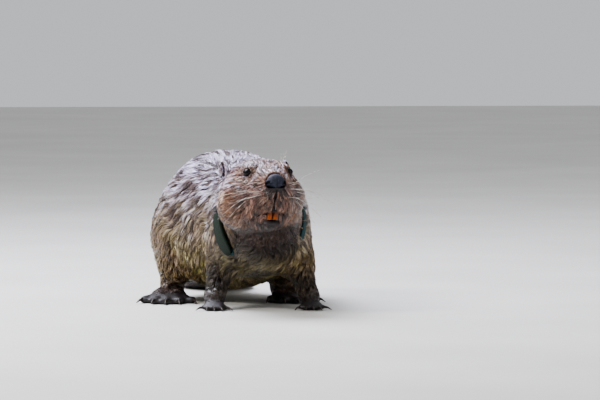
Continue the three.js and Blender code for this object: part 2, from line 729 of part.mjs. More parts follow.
const torso = largest(
  bodyBehind.subtract(forelegRegion(GAP / 2)).subtract(thighRegion(GAP / 2)),
);
const sideOf = (side, shift) =>
  beyond(new THREE.Vector3(shift, 0, 0), new THREE.Vector3(side, 0, 0));
const forelegMesh = solid(meshWithin(wholeField, [-130, 120, 8], [130, 290, 220], LEG_CELL));
const thighMesh = solid(meshWithin(wholeField, [-190, 260, 8], [160, 500, 210], LEG_CELL));
const forelegs = forelegMesh.intersect(forelegRegion(-GAP / 2));
const thighs = thighMesh.intersect(thighRegion(-GAP / 2));
for (const [name, side] of SIDES) {
  const shift = sway(ANKLE.y);
  const wrist = beyond(new THREE.Vector3(0, 0, WRIST.z), UP);
  const ankle = beyond(new THREE.Vector3(0, 0, ANKLE.z), UP);
  const foreleg = forelegs.intersect(sideOf(side, 0)).intersect(wrist).subtract(torso);
  const hindleg = thighs.intersect(sideOf(side, shift)).intersect(ankle).subtract(torso);
  add(`foreleg_${name}`, largest(foreleg), COLOUR.fur);
  add(`hindleg_${name}`, largest(hindleg), COLOUR.fur);
  const forepaw = buildFoot(WRIST, FOREPAW, side, 0, 6, forearm, false);
  const hindfoot = buildFoot(ANKLE, HINDFOOT, side, shift, 8.1, shank, true);
  add(`forepaw_${name}`, forepaw.made, COLOUR.foot);
  add(`hindfoot_${name}`, hindfoot.made, COLOUR.foot);
  forepaw.claws.forEach((claw, i) => add(`claw_fore_${name}_${i + 1}`, claw, COLOUR.claw));
  hindfoot.claws.forEach((claw, i) => add(`claw_hind_${name}_${i + 1}`, claw, COLOUR.claw));
}

const rump = new THREE.Vector3(0, 508, 70);
const [tailPart, trunk] = partByPlane(torso, rump, new THREE.Vector3(0, 1, -0.35));
const tailEnd = new THREE.Vector3(0, TAIL.from, 0);
const [, tailRoot] = partByPlane(tailPart, tailEnd, new THREE.Vector3(0, 1, 0));
add("tail_root", largest(tailRoot).intersect(aboveFloor), COLOUR.fur);
add("tail_blade", tailBlade(), COLOUR.tail);
const [trunkRear, forward] = partByPlane(trunk, new THREE.Vector3(0, 305, 0), new THREE.Vector3(0, 1, 0));
const [trunkFront, neck] = partByPlane(
  forward,
  new THREE.Vector3(0, 205, 225),
  new THREE.Vector3(0, 1, -0.3),
);
add("trunk_rear", largest(trunkRear), COLOUR.fur);
add("trunk_front", largest(trunkFront), COLOUR.fur);
add("neck", largest(neck), COLOUR.fur);

// ---- harness pieces --------------------------------------------------------------------------
const neckLoop = loopPoints(NECK_LOOP, STRAP_STEPS);
const girth = loopPoints(GIRTH, STRAP_STEPS);
const backStrap = linePoints(
  new THREE.Vector3(-4, 178, 160),
  new THREE.Vector3(-14, 286, 150),
  UP,
  10,
);
const chestStrap = linePoints(
  new THREE.Vector3(-4, 122, 110),
  new THREE.Vector3(-10, 286, 110),
  UP.clone().negate(),
  14,
);
const panelPoints = Array.from({ length: PANEL.steps + 1 }, (_, i) =>
  loopPoint(NECK_LOOP, PANEL.from + (PANEL.span * i) / PANEL.steps),
);
const webbing = (points, closed, spare, tall = spare) =>
  bandOf(points, closed, WEBBING, spare, tall);
const loopsGrown = join(webbing(neckLoop, true, GAP), webbing(girth, true, GAP));
const loopsTall = join(webbing(neckLoop, true, GAP, 6), webbing(girth, true, GAP, 6));
const fittings = (spare) => [
  ["harness_panel", bandOf(panelPoints, false, PANEL, spare)],
  ["harness_slider", block(NECK_LOOP, SLIDER, spare)],
  ["harness_buckle", block(GIRTH, BUCKLE, spare)],
];
const fittingsGrown = join(...fittings(GAP).map(([, made]) => made));
const straps = [
  ["harness_neck_loop", webbing(neckLoop, true, 0).subtract(fittingsGrown)],
  ["harness_girth", webbing(girth, true, 0).subtract(fittingsGrown)],
  ["harness_back_strap", webbing(backStrap, false, 0).subtract(loopsTall)],
  ["harness_chest_strap", webbing(chestStrap, false, 0).subtract(loopsTall)],
];
const harnessGrown = join(
  loopsGrown,
  webbing(backStrap, false, GAP),
  webbing(chestStrap, false, GAP),
  fittingsGrown,
);
for (const [name, made] of straps) add(name, largest(made), COLOUR.webbing);
for (const [name, made] of fittings(0))
  add(name, made, name === "harness_panel" ? COLOUR.panel : COLOUR.buckle);
for (const node of nodes.values())
  if (node.colour === COLOUR.fur) node.made = largest(node.made.subtract(harnessGrown));

const box = new THREE.Box3();
for (const { made } of nodes.values()) {
  const { min, max } = made.boundingBox();
  box.expandByPoint(new THREE.Vector3(...min)).expandByPoint(new THREE.Vector3(...max));
}
const middle = box.getCenter(new THREE.Vector3()).setZ(box.min.z);

const group = new THREE.Group();
for (const [name, { made, colour }] of nodes) {
  const { vertProperties, triVerts } = made.getMesh();
  const geometry = new THREE.BufferGeometry()
    .setAttribute("position", new THREE.BufferAttribute(new Float32Array(vertProperties), 3))
    .setIndex(new THREE.BufferAttribute(new Uint32Array(triVerts), 1))
    .translate(-middle.x, -middle.y, -middle.z);
  const mesh = new THREE.Mesh(geometry, new THREE.MeshStandardMaterial({ color: colour }));
  mesh.name = name;
  group.add(mesh);
}
export default group;
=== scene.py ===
"""A wet beaver at rest on all fours in a webbing harness, life size.

One skin takes the place of the solids of flesh, and lies inside them by the coat's depth. The coat
is locks of solid mesh, combed along the lie of the fur and drawn together in wet clumps. Metres,
+Z up, the beaver faces -Y and its left side is +X.
"""

import math

import bmesh
import bpy
import numpy as np
from mathutils import Matrix, Vector
from mathutils.bvhtree import BVHTree
from mathutils.kdtree import KDTree


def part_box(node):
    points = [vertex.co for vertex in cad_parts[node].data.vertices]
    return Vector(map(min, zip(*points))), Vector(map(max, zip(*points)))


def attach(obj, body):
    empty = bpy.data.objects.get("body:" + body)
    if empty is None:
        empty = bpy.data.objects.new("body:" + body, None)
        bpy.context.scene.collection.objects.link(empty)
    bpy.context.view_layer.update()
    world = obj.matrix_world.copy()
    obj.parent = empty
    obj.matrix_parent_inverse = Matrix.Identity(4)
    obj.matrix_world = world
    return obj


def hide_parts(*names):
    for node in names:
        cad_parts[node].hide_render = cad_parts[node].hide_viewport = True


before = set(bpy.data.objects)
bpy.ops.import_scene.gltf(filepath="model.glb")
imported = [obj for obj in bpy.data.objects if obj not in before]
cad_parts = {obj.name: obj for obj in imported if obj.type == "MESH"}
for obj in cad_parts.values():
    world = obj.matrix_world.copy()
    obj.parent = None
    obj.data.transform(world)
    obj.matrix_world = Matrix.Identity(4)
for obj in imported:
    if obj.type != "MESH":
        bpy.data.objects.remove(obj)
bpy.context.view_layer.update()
MM = 0.001
SAME_DIGITS = 6  # corners of the solids that agree to this many digits are one
TINY = 1e-9  # keeps a division from failing
WAVES = 10  # in the noise of drift()
SIDES = (("left", 1), ("right", -1))

# ---- driving sizes -----------------------------------------------------------------------------
HEAD_YAW = 13  # degrees, towards the beaver's left
HEAD_PITCH = 11  # degrees, nose up
NOSE_BACK = 7 * MM  # the head's origin lies this far ahead of the middle of the nose pad
MOUTH_LEAN = 0.155  # sideways shift of the mouth for each unit below LEAN_FROM
LEAN_FROM = -15 * MM

VOXEL = 2.6 * MM  # mesh size of the skin
SEAL = 0.5 * MM  # the solids grow by this before they are joined, to close the cuts between them

# The coat on each part: how deep it lies and how long and wide a lock is, in millimetres, how many
# locks grow on a square centimetre, how far the tips of a clump are drawn together, how golden and
# how dark it is, and how much painted sheen, the sky light's pale reflection on wet hair, it
# carries.
COAT_COLUMNS = ("depth", "length", "width", "crowd", "clump", "warm", "dark", "frost")
COAT = {
    "head": (4.0, 26, 1.1, 68, 0.85, 0.45, 0.0, 0.27),
    "lower_jaw": (4.0, 22, 1.15, 62, 0.85, 0.4, 0.25, 0.08),
    "neck": (10, 36, 1.5, 30, 0.85, 0.35, 0.05, 0.46),
    "trunk_front": (11, 38, 1.7, 24, 0.85, 0.35, 0.0, 0.46),
    "trunk_rear": (11, 40, 1.9, 18.5, 0.85, 0.35, 0.0, 0.48),
    "tail_root": (6, 22, 2.2, 18, 0.7, 0.4, 0.3, 0.3),
    "tail_blade": (0, 5, 1, 0, 0, 0, 1, 0),
    "foreleg": (6, 20, 1.5, 26, 0.7, 0.3, 0.35, 0.0),
    "hindleg": (9, 28, 1.9, 18, 0.75, 0.3, 0.25, 0.2),
    "forepaw": (0.4, 7, 0.9, 30, 0.3, 0.1, 0.7, 0.0),
    "hindfoot": (0.4, 9, 1.0, 22, 0.3, 0.1, 0.7, 0.0),
}
LIE = {  # which way the hair lies on each part
    "head": (0, 0.6, -0.35),
    "lower_jaw": (0, 0.7, -0.5),
    "neck": (0, 0.7, -0.9),
    "trunk_front": (0, 1, -0.55),
    "trunk_rear": (0, 1, -0.4),
    "tail_root": (0, 1, -0.1),
    "tail_blade": (0, 1, 0),
    "foreleg": (0, 0.3, -1),
    "hindleg": (0, 0.6, -1),
    "forepaw": (0, -1, -0.2),
    "hindfoot": (0, -1, -0.2),
}
SMOOTHING = {"head": 8, "lower_jaw": 8, "tail_blade": 3, "forepaw": 2, "hindfoot": 2}
SMOOTHING_ELSEWHERE = 44
SMOOTHING_STEPS = 4
SMOOTHING_RATE = 0.6
BORDER_ROUNDS = 14  # how softly one region runs into the next
PIECE_TRIANGLES = 190_000  # the most in one piece of the coat
PATCH = 0.003  # a lock's patch on the unwrapped skin
THINNED = 1

# Bands over which something fades from 0 to 1, in millimetres. Those of the face are in the head's
# frame: x to the side, y back from the nose, z up.
BANDS = {
    "face_front": (-45, -24),  # of -y
    "lip_corner": (12, 34),  # x, the upper lip's fall to the corner of the mouth
    "upper_lip_hem": (-0.5, 0.7),  # z from the lip's edge
    "upper_lip_top": (-36, -25),  # z
    "upper_lip_side": (12, 20),  # x
    "upper_lip_back": (20, 26),  # y
    "lower_lip_side": (8, 18),  # x
    "lower_lip_back": (24, 30),  # y
    "nose_rim_foot": (-8, 0),  # z
    "cleft_end": (0, 4),  # z from the lip's edge
    "cleft_top": (-2, 3),  # z from the top of the cleft
    "parted_from": (7, 12),  # x
    "parted_to": (26, 38),  # x
    "chin_side": (22, 40),  # x
    "shallow_snout": (20, 70),  # y
    "shallow_nose": (15, 24),  # from the middle of the nose
    "shallow_mouth": (8, 20),  # from the middle of the mouth
    "strap_presses": (5, 13),  # from a strap
    "strap_bares": (6, 12),  # from a strap
    "short_snout": (12, 62),  # y
    "nose_brow": (0, 8),  # z
    "sole": (10, 20),  # height
    "tooth": (-57, -45),  # z
    "bare_cleft_end": (-2, 2),  # z from the lip's edge
    "bare_cleft_top": (0, 4),  # z from the top of the cleft
    "bare_corner": (28, 36),  # x
    "bare_above_teeth": (8, 12),  # x
    "low_body": (70, 165),  # height
    "muzzle_back": (30, 60),  # y
    "muzzle_top": (-8, 12),  # z
    "throat_edge": (-4, 5),  # z from the throat's edge
    "throat_back": (190, 260),  # y
    "throat_side": (58, 84),  # x
    "cheek": (-40, 10),  # z
    "brow": (-10, 15),  # z
    "under_nose_side": (10, 16),  # x
    "ear_shade": (26, 70),  # from the ear
    "ear_shade_front": (96, 112),  # y
    "wrist": (45, 85),  # height
    # The last four shape the painted sheen of sky light: more of it higher up on the body, less
    # towards the rear, more on the upper face and towards the back of the head.
    "sky_height": (50, 215),  # height
    "rear_frost": (20, 170),  # y of the world
    "face_frost": (-38, 8),  # z
    "nape_frost": (42, 66),  # y
}
# Humps, as the middle and the width of each in millimetres.
HUMPS = {
    "pad_side": (9, 7),  # x
    "pad_height": (-28, 12),  # z
    "lower_lip": (-63, 4),  # z
    "nose_rim": (16.5, 2.2),  # from the middle of the nose
    "parting": (-0.5, 1.7),  # z from the lip's edge
    "under_chin": (-74, 5),  # z
    "bare_lip": (-0.5, 2.2),  # z from the lip's edge
    "above_teeth": (1.2, 2.4),  # z from the lip's edge
    # Below the nose pad, a painted shadow; on the temples, a painted highlight of sky light.
    "under_nose": (-13, 3),  # z
    "temple_frost": (-12, 18),  # z
}
# Ovals on the front of the face: how high the middle is, and half the width and the height.
OVALS = {"mouth": (-56.5, 11, 9.5), "chin": (-64, 17, 11)}
# Smooth noise over the surface: the size of its features in millimetres, and its seed.
DRIFTS = {
    "skin_tone": (5, 8),
    "sway": (30, 3),
    "fine_sway": (11, 4),
    "speckle": (5, 15),
    "mottle": (18, 9),
    "streak": (13, 12),
    "face_streak": (8, 14),
}


# ---- numbers -----------------------------------------------------------------------------------
def ease(x, low, high):
    """0 below a band, 1 above it, and smooth between."""
    t = np.clip((x - low) / (high - low), 0, 1)
    return t * t * (3 - 2 * t)


def band(x, name, start=0):
    """How far x, in metres, is through a named band that counts from a start."""
    low, high = BANDS[name]
    return ease(x, start + low * MM, start + high * MM)


def bell(x, width):
    return np.exp(-((x / width) ** 2))


def hump(x, name):
    middle, width = HUMPS[name]
    return bell(x - middle * MM, width * MM)


def oval(x, z, name):
    """0 at the middle of a named oval, and 1 at its edge."""
    middle, wide, high = OVALS[name]
    return np.hypot(x / (wide * MM), (z - middle * MM) / (high * MM))


def unit(v):
    return v / np.maximum(np.linalg.norm(v, axis=-1, keepdims=True), TINY)


def drift(points, name):
    """Smooth noise from about -1 to 1 over points."""
    size, seed = DRIFTS[name]
    rng = np.random.default_rng(seed)
    waves = rng.normal(size=(WAVES, 3)) / (size * MM)
    phases = rng.uniform(0, 2 * math.pi, WAVES)
    return np.sin(points @ waves.T + phases).sum(1) / 3


def turned(v, axis, angle):
    """Vectors turned about unit axes at right angles to them."""
    return v * np.cos(angle)[:, None] + np.cross(axis, v) * np.sin(angle)[:, None]


# ---- the head's own frame: origin at the nose, x to its left, y back, z up ---------------------
def middle_of(node):
    low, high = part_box(node)
    return (low + high) / 2


def head_pose():
    """The head's turn and its origin, as arrays."""
    yaw = Matrix.Rotation(math.radians(HEAD_YAW), 3, "Z")
    turn = yaw @ Matrix.Rotation(math.radians(-HEAD_PITCH), 3, "X")
    origin = middle_of("nose_pad") + turn @ Vector((0, -NOSE_BACK, 0))
    return np.array(turn), np.array(origin)


HEAD_TURN, HEAD_ORIGIN = head_pose()


def mouth_shift(z):
    return MOUTH_LEAN * np.minimum(z - LEAN_FROM, 0)


def into_head(points):
    local = (points - HEAD_ORIGIN) @ HEAD_TURN
    local[:, 0] -= mouth_shift(local[:, 2])
    return local


def from_head(local):
    straight = np.array(local, float)
    straight[:, 0] += mouth_shift(straight[:, 2])
    return straight @ HEAD_TURN.T + HEAD_ORIGIN


# ---- meshes as arrays --------------------------------------------------------------------------
def arrays_of(mesh):
    verts = np.empty(len(mesh.vertices) * 3)
    mesh.vertices.foreach_get("co", verts)
    mesh.calc_loop_triangles()
    tris = np.empty(len(mesh.loop_triangles) * 3, int)
    mesh.loop_triangles.foreach_get("vertices", tris)
    return verts.reshape(-1, 3), tris.reshape(-1, 3)


def mesh_of(name, verts, tris):
    mesh = bpy.data.meshes.new(name)
    mesh.vertices.add(len(verts))
    mesh.vertices.foreach_set("co", np.asarray(verts, np.float32).ravel())
    mesh.loops.add(len(tris) * 3)
    mesh.loops.foreach_set("vertex_index", np.asarray(tris, np.int32).ravel())
    mesh.polygons.add(len(tris))
    mesh.polygons.foreach_set("loop_start", np.arange(0, len(tris) * 3, 3, dtype=np.int32))
    mesh.polygons.foreach_set("use_smooth", np.ones(len(tris), bool))
    mesh.update(calc_edges=True)
    return mesh


def set_attribute(mesh, name, values):
    mesh.attributes.new(name, "FLOAT", "POINT").data.foreach_set(
        "value", np.asarray(values, np.float32)
    )


def set_uv(mesh, uv_of_vertex):
    layer = mesh.uv_layers.new(name="OFBake")
    corner = np.empty(len(mesh.loops), np.int32)
    mesh.loops.foreach_get("vertex_index", corner)
    layer.data.foreach_set("uv", np.asarray(uv_of_vertex, np.float32)[corner].ravel())


def linked(name, data):
    obj = bpy.data.objects.new(name, data)
    bpy.context.scene.collection.objects.link(obj)
    return obj


def piece(name, mesh, material, slot, *replaced):
    """A visible piece of the model, which rides on its one body."""
    obj = linked(name, mesh)
    mesh.materials.clear()
    mesh.materials.append(material)
    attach(obj, "root")
    if replaced:
        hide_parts(*replaced)
    return obj


def vertex_normals(verts, tris):
    a, b, c = (verts[tris[:, i]] for i in range(3))
    face = np.cross(b - a, c - a)
    total = np.stack(
        [
            sum(np.bincount(tris[:, k], face[:, axis], len(verts)) for k in range(3))
            for axis in range(3)
        ],
        axis=1,
    )
    return unit(total)


def edges_of(tris):
    pairs = np.sort(np.concatenate([tris[:, [0, 1]], tris[:, [1, 2]], tris[:, [2, 0]]]), axis=1)
    return np.unique(pairs, axis=0)


def spread(values, edges, rounds, rate=0.5):
    """Values on the vertices, evened out with their neighbours. The rate may differ by vertex."""
    a, b = edges.T
    count = len(values)
    degree = np.maximum(np.bincount(a, minlength=count) + np.bincount(b, minlength=count), 1)
    columns = np.array(values, float).reshape(count, -1)
    rate = np.broadcast_to(np.asarray(rate, float), (count,))
    for _ in range(rounds):
        for i in range(columns.shape[1]):
            column = columns[:, i]
            total = np.bincount(a, column[b], count) + np.bincount(b, column[a], count)
            columns[:, i] = column + rate * (total / degree - column)
    return columns.reshape(np.shape(values))


def stacked(parts):
    """Several pairs of vertices and triangles as one pair."""
    starts = np.cumsum([0] + [len(verts) for verts, _ in parts])
    tris = [tris + start for (_, tris), start in zip(parts, starts)]
    return np.concatenate([verts for verts, _ in parts]), np.concatenate(tris)


def joined(names, grow=0):
    """The CAD solids of some nodes as one pair of arrays, and which node each triangle is of."""
    parts = []
    for name in names:
        v, t = arrays_of(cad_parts[name].data)
        rounded = np.round(v, SAME_DIGITS)
        merged, index = np.unique(rounded, axis=0, return_inverse=True)
        t = index.reshape(-1)[t]
        parts.append((merged + vertex_normals(merged, t) * grow, t))
    owner = np.repeat(np.arange(len(parts)), [len(t) for _, t in parts])
    return *stacked(parts), owner


def modified(name, verts, tris, *modifiers):
    """A mesh made by modifiers, each given as its kind and its settings."""
    obj = linked(name, mesh_of(name, verts, tris))
    for kind, settings in modifiers:
        modifier = obj.modifiers.new(kind, kind)
        for key, value in settings.items():
            setattr(modifier, key, value)
    evaluated = obj.evaluated_get(bpy.context.evaluated_depsgraph_get())
    made = bpy.data.meshes.new_from_object(evaluated)
    bpy.data.objects.remove(obj)
    return made


def remeshed(verts, tris, voxel):
    return modified("remesh", verts, tris, ("REMESH", dict(mode="VOXEL", voxel_size=voxel)))


def refine(mesh, near):
    """Splits the faces whose middle is near, where near takes points and answers yes or no."""
    work = bmesh.new()
    work.from_mesh(mesh)
    middles = np.array([f.calc_center_median() for f in work.faces])
    picked = near(middles)
    edges = {e for f, yes in zip(work.faces, picked) if yes for e in f.edges}
    bmesh.ops.subdivide_edges(work, edges=list(edges), cuts=1, use_grid_fill=True)
    work.to_mesh(mesh)
    work.free()


def tree_of(verts, tris):
    return BVHTree.FromPolygons(verts.tolist(), tris.tolist())


def nearest(tree, points):
    """The nearest surface point, its triangle and how far away it is, for each of some points."""
    found = [tree.find_nearest(p) for p in points.tolist()]
    spots = np.array([f[0] for f in found])
    return spots, np.array([f[2] for f in found]), np.array([f[3] for f in found])


# ---- the skin ----------------------------------------------------------------------------------
def both(name):
    return [f"{name}_{side}" for side, _ in SIDES]


SINGLE = ("head", "lower_jaw", "neck", "trunk_front", "trunk_rear", "tail_root", "tail_blade")
PAIRED = ("foreleg", "hindleg", "forepaw", "hindfoot")
FLESH = list(SINGLE) + [node for name in PAIRED for node in both(name)]
REGION_OF_NODE = [name.replace("_left", "").replace("_right", "") for name in FLESH]
REGIONS = list(SINGLE) + list(PAIRED)
HARNESS = [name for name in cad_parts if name.startswith("harness_")]
STRAPS = [name for name in HARNESS if name not in ("harness_buckle", "harness_slider")]

# Which way the left eye looks, and which way is up along its lids, in the head's frame.
EYE_LOOKS = (0.73, -0.64, 0.22)
EYE_UPRIGHT = (0.0, -0.12, 1.0)
# The lids: half the opening as degrees round the eyeball, their thickness, how deep the crease
# behind them is, and, as shares of the thickness, how much thicker they are at their roll and above
# the eye and how thin they may get. The bands and humps are in multiples of the opening.
LID = {"across": 44, "down": 32, "thick": 0.9 * MM, "crease": 1.1 * MM}
LID_THICKER = {"roll": 0.5, "upper": 0.3}
LID_THINNEST = 0.4
LID_ROLL = {"at": 1.25, "width": 0.3}
LID_CREASE = {"at": 1.85, "width": 0.22}
LID_FADES = (1.4, 2.6)
LID_EDGE = (0.88, 1.02)
LID_FRONT = 1.3  # within it the skin goes in under the lids
LASH_LINE = (1.35, 1.6)  # from bare skin to hair
LID_SHADE = {"at": 1.3, "width": 0.55}
# Distances from an eye's centre, in radii of the eyeball.
EYE = {
    "socket": 0.8,  # the skin within the opening, out of sight
    "fine": 2.2,  # the skin's mesh is finer
    "lid": (1.8, 2.6),
    "crease": 2.5,
    "shallow": (1.3, 3.2),
    "lie": (1.4, 3.6),
    "short": (1.6, 4.5),
    "bare": 2,
    "shade": 2.4,
}
EYES = {side: np.array(middle_of(f"eye_{side}")) for side, _ in SIDES}
EYE_RADIUS = (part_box("eye_left")[1].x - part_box("eye_left")[0].x) / 2


def gap_to(points, names):
    """How far some points are from the solids of some nodes."""
    verts, tris, _ = joined(names)
    return nearest(tree_of(verts, tris), points)[2]


FINE_SIZES = (1, 0.8)
FINE_FACE = {"side": 24 * MM, "front": -30 * MM, "back": 40 * MM, "low": -78 * MM, "high": 14 * MM}


def near_face_details(size):
    """A test for points near an eye or the mouth. A smaller size tests a smaller region."""

    def near(points):
        close = np.zeros(len(points), bool)
        for eye in EYES.values():
            far = np.linalg.norm(points - eye, axis=1)
            close |= far < EYE["fine"] * EYE_RADIUS * size
        x, y, z = into_head(points).T
        mouth = (np.abs(x) < FINE_FACE["side"] * size) & (y < FINE_FACE["back"])
        mouth &= (y > FINE_FACE["front"]) & (z > FINE_FACE["low"])
        return close | (mouth & (z < FINE_FACE["high"] * size))

    return near


def region_weights(verts, edges):
    """How much each vertex belongs to each region, with soft borders."""
    solids, tris, owner = joined(FLESH)
    _, face, _ = nearest(tree_of(solids, tris), verts)
    number = np.array([REGIONS.index(name) for name in REGION_OF_NODE])[owner[face]]
    return spread(np.eye(len(REGIONS))[number], edges, BORDER_ROUNDS)


def by_region(weights, table):
    """What a table says of the regions, mixed at each vertex."""
    return weights @ np.array([table[name] for name in REGIONS], float)


def coat_of(weights, column):
    number = COAT_COLUMNS.index(column)
    return by_region(weights, {name: row[number] for name, row in COAT.items()})


def eye_axes(side):
    """Outward, along the opening and up, for the eye on a side, as the rows of an array."""
    sign = dict(SIDES)[side]
    out = unit(HEAD_TURN @ (np.array(EYE_LOOKS) * [sign, 1, 1]))
    along = unit(np.cross(HEAD_TURN @ np.array(EYE_UPRIGHT), out)) * sign
    return np.array([out, along, np.cross(out, along) * sign])


def eye_angles(verts, side):
    """Distance from an eye's centre, and how far round its opening, where 1 is the lids' edge."""
    away = verts - EYES[side]
    far = np.linalg.norm(away, axis=1)
    out, along, up = (unit(away) @ axis for axis in eye_axes(side))
    across = np.degrees(np.arctan2(along, out)) / LID["across"]
    down = np.degrees(np.arctan2(up, np.hypot(out, along))) / LID["down"]
    return far, np.hypot(across, down), down


def off_eye(far, name):
    """How far a distance from an eye is through one of its bands."""
    low, high = EYE[name]
    return ease(far, low * EYE_RADIUS, high * EYE_RADIUS)


def open_eyes(verts):
    """Draws the skin over the eyeballs as lids, and back inside them within the opening."""
    socket = EYE["socket"] * EYE_RADIUS
    for side, _ in SIDES:
        far, ring, down = eye_angles(verts, side)
        roll = LID_THICKER["roll"] * bell(ring - LID_ROLL["at"], LID_ROLL["width"])
        rim = EYE_RADIUS + LID["thick"] * (1 + roll + LID_THICKER["upper"] * (down > 0))
        crease = LID["crease"] * bell(ring - LID_CREASE["at"], LID_CREASE["width"])
        crease *= far < EYE["crease"] * EYE_RADIUS
        hold = (1 - ease(ring, *LID_FADES)) * (1 - off_eye(far, "lid"))
        wanted = far + (rim - far) * hold - crease
        wanted = np.maximum(wanted, EYE_RADIUS + LID_THINNEST * LID["thick"])
        inside = ease(ring, *LID_EDGE)
        wanted = np.where(ring < LID_FRONT, socket + (wanted - socket) * inside, wanted)
        near_eye = far < EYE["lid"][1] * EYE_RADIUS
        scale = np.where(near_eye, wanted / np.maximum(far, TINY), 1)
        verts = EYES[side] + (verts - EYES[side]) * scale[:, None]
    return verts


# The mouth, in the head's frame: the upper lip hangs before the teeth down to LIP_EDGE. The lips
# lie this far back from the origin on the middle line, and fall back to the sides.
LIP_EDGE = -46.5 * MM
LIP_CORNER_DROP = 4 * MM
UPPER_LIP_FRONT = 7.0 * MM
LOWER_LIP_FRONT = 12.5 * MM
LIP_CURVE = 0.02  # millimetres back for each square millimetre to the side
CLEFT_TOP = -13 * MM
CLEFT_WIDTHS = (1.3 * MM, 2.6 * MM)  # half of it at the top, and how much it gains downward
CLEFT_OPENS = 30 * MM  # below the origin
PAD_SWELL = 2.2 * MM
NOSE_RIM_SWELL = 1.8 * MM
NOSE_RIM_SQUASH = 1.2
CLEFT_DEPTH = 3.0 * MM
PARTED_DEPTH = 3.4 * MM
UNDER_CHIN_DEPTH = 3.0 * MM


def lip_line(x):
    """How high the edge of the upper lip is, lower towards the corners of the mouth."""
    return LIP_EDGE - LIP_CORNER_DROP * band(np.abs(x), "lip_corner")


def cleft_width(z):
    """Half the width of the cleft below the nose, which opens above the teeth."""
    top, gain = CLEFT_WIDTHS
    return top + gain * ease(-z, CLEFT_OPENS, -LIP_EDGE)


def drawn_back(y, side, front, amount):
    """Skin that lies ahead of a lip's front goes back to it, by an amount from 0 to 1."""
    return y + np.minimum(front + LIP_CURVE * side**2 / MM - y, 0) * amount


def shape_mouth(verts):
    """The cleft below the nose, the upper lip before the teeth, the parted lips and the chin."""
    h = into_head(verts)
    x, y, z = h.T
    side = np.abs(x)
    edge = lip_line(x)
    front = band(-y, "face_front")
    pads = PAD_SWELL * hump(side, "pad_side") * hump(z, "pad_height")
    hanging = band(z, "upper_lip_hem", edge) * (1 - band(z, "upper_lip_top"))
    hanging *= (1 - band(side, "upper_lip_side")) * (1 - band(y, "upper_lip_back"))
    y = drawn_back(y, side, UPPER_LIP_FRONT, hanging)
    held = hump(z, "lower_lip") * (1 - band(side, "lower_lip_side"))
    y = drawn_back(y, side, LOWER_LIP_FRONT, held * (1 - band(y, "lower_lip_back")))
    rim = NOSE_RIM_SWELL * hump(np.hypot(x, NOSE_RIM_SQUASH * z), "nose_rim")
    y = y - rim * band(z, "nose_rim_foot")
    cleft = CLEFT_DEPTH * bell(x, cleft_width(z)) * band(z, "cleft_end", edge)
    cleft *= 1 - band(z, "cleft_top", CLEFT_TOP)
    parted = PARTED_DEPTH * hump(z - edge, "parting") * band(side, "parted_from")
    parted *= 1 - band(side, "parted_to")
    under_chin = UNDER_CHIN_DEPTH * hump(z, "under_chin") * (1 - band(side, "chin_side"))
    h[:, 1] = y + (cleft + parted + under_chin - pads) * front
    return from_head(h)


# The coat lies over the harness but for these stretches, in degrees round each loop from the left
# side up over the back, and for a hand's breadth round the buckle.
NECK_LOOP_SHOWS = ((154, 229), (-28, 14))
NECK_LOOP_REACH = 45 * MM  # ahead of it and behind it
SHOWS_FADE = (-3, 5)  # degrees past the end of a stretch
BUCKLE_SHOWS = 46 * MM
BUCKLE_FADE = 0.75  # of that, from where the coat starts to cover
SHOWN_DEPTH = 6.2 * MM  # how far below the coat's outside the skin lies under a strap that shows
PANEL_DEPTH = 4.2 * MM
PANEL_REACH = 8 * MM
PRESSED_DEPTH = 0.8 * MM  # of the hair under a strap that shows
LEAST_DEPTH = 0.5 * MM
STRAY_RISE = 8 * MM  # how much higher the few locks lie that stray over a strap
STRAYS = 0.03  # how many of the locks do
STRAP_TUCK = 2.6 * MM  # how much deeper the hidden stretches of the straps are pressed


def shown(verts):
    """1 where the harness lies open to view, 0 where the coat covers it."""
    middle = middle_of("harness_neck_loop")
    turn = np.degrees(np.arctan2(verts[:, 2] - middle.z, verts[:, 0] - middle.x))
    near_neck = np.abs(verts[:, 1] - middle.y) < NECK_LOOP_REACH
    open_to_view = np.zeros(len(verts))
    for start, end in NECK_LOOP_SHOWS:
        off = np.abs((turn - (start + end) / 2 + 180) % 360 - 180) - (end - start) / 2
        open_to_view = np.maximum(open_to_view, (1 - ease(off, *SHOWS_FADE)) * near_neck)
    away = np.linalg.norm(verts - np.array(middle_of("harness_buckle")), axis=1)
    at_buckle = 1 - ease(away, BUCKLE_FADE * BUCKLE_SHOWS, BUCKLE_SHOWS)
    return np.maximum(open_to_view, at_buckle)


NOSE_MIDDLE = (0, 7, 0)
MOUTH_MIDDLE = {"y": 20 * MM, "z": -50 * MM}
SNOUT_SHALLOWER = 0.55


def coat_depth(verts, weights, strap_gap, panel_gap):
    """How far the skin lies below the outside of the coat."""
    h = into_head(verts)
    x, y, z = h.T
    depth = coat_of(weights, "depth") * MM
    depth *= 1 - SNOUT_SHALLOWER * (1 - band(y, "shallow_snout"))
    for side, _ in SIDES:
        depth *= off_eye(eye_angles(verts, side)[0], "shallow")
    nose = np.linalg.norm(h - np.array(NOSE_MIDDLE) * MM, axis=1)
    mouth = np.hypot(x, z - MOUTH_MIDDLE["z"]) + np.maximum(y - MOUTH_MIDDLE["y"], 0)
    depth *= band(nose, "shallow_nose")
    depth *= band(mouth, "shallow_mouth")
    pressed = (1 - band(strap_gap, "strap_presses")) * shown(verts)
    under = np.where(panel_gap < PANEL_REACH, PANEL_DEPTH, SHOWN_DEPTH)
    return depth * (1 - pressed) + np.minimum(depth, under) * pressed


def summed(shares, areas):
    """The areas added up, each by its share."""
    return sum(share * areas[name] for name, share in shares.items())


SKIN_TONE, SKIN_TONE_SWING = 0.35, 0.3  # of the skin between the locks
UNWRAP = {"angle_limit": math.radians(66), "island_margin": 0.002}


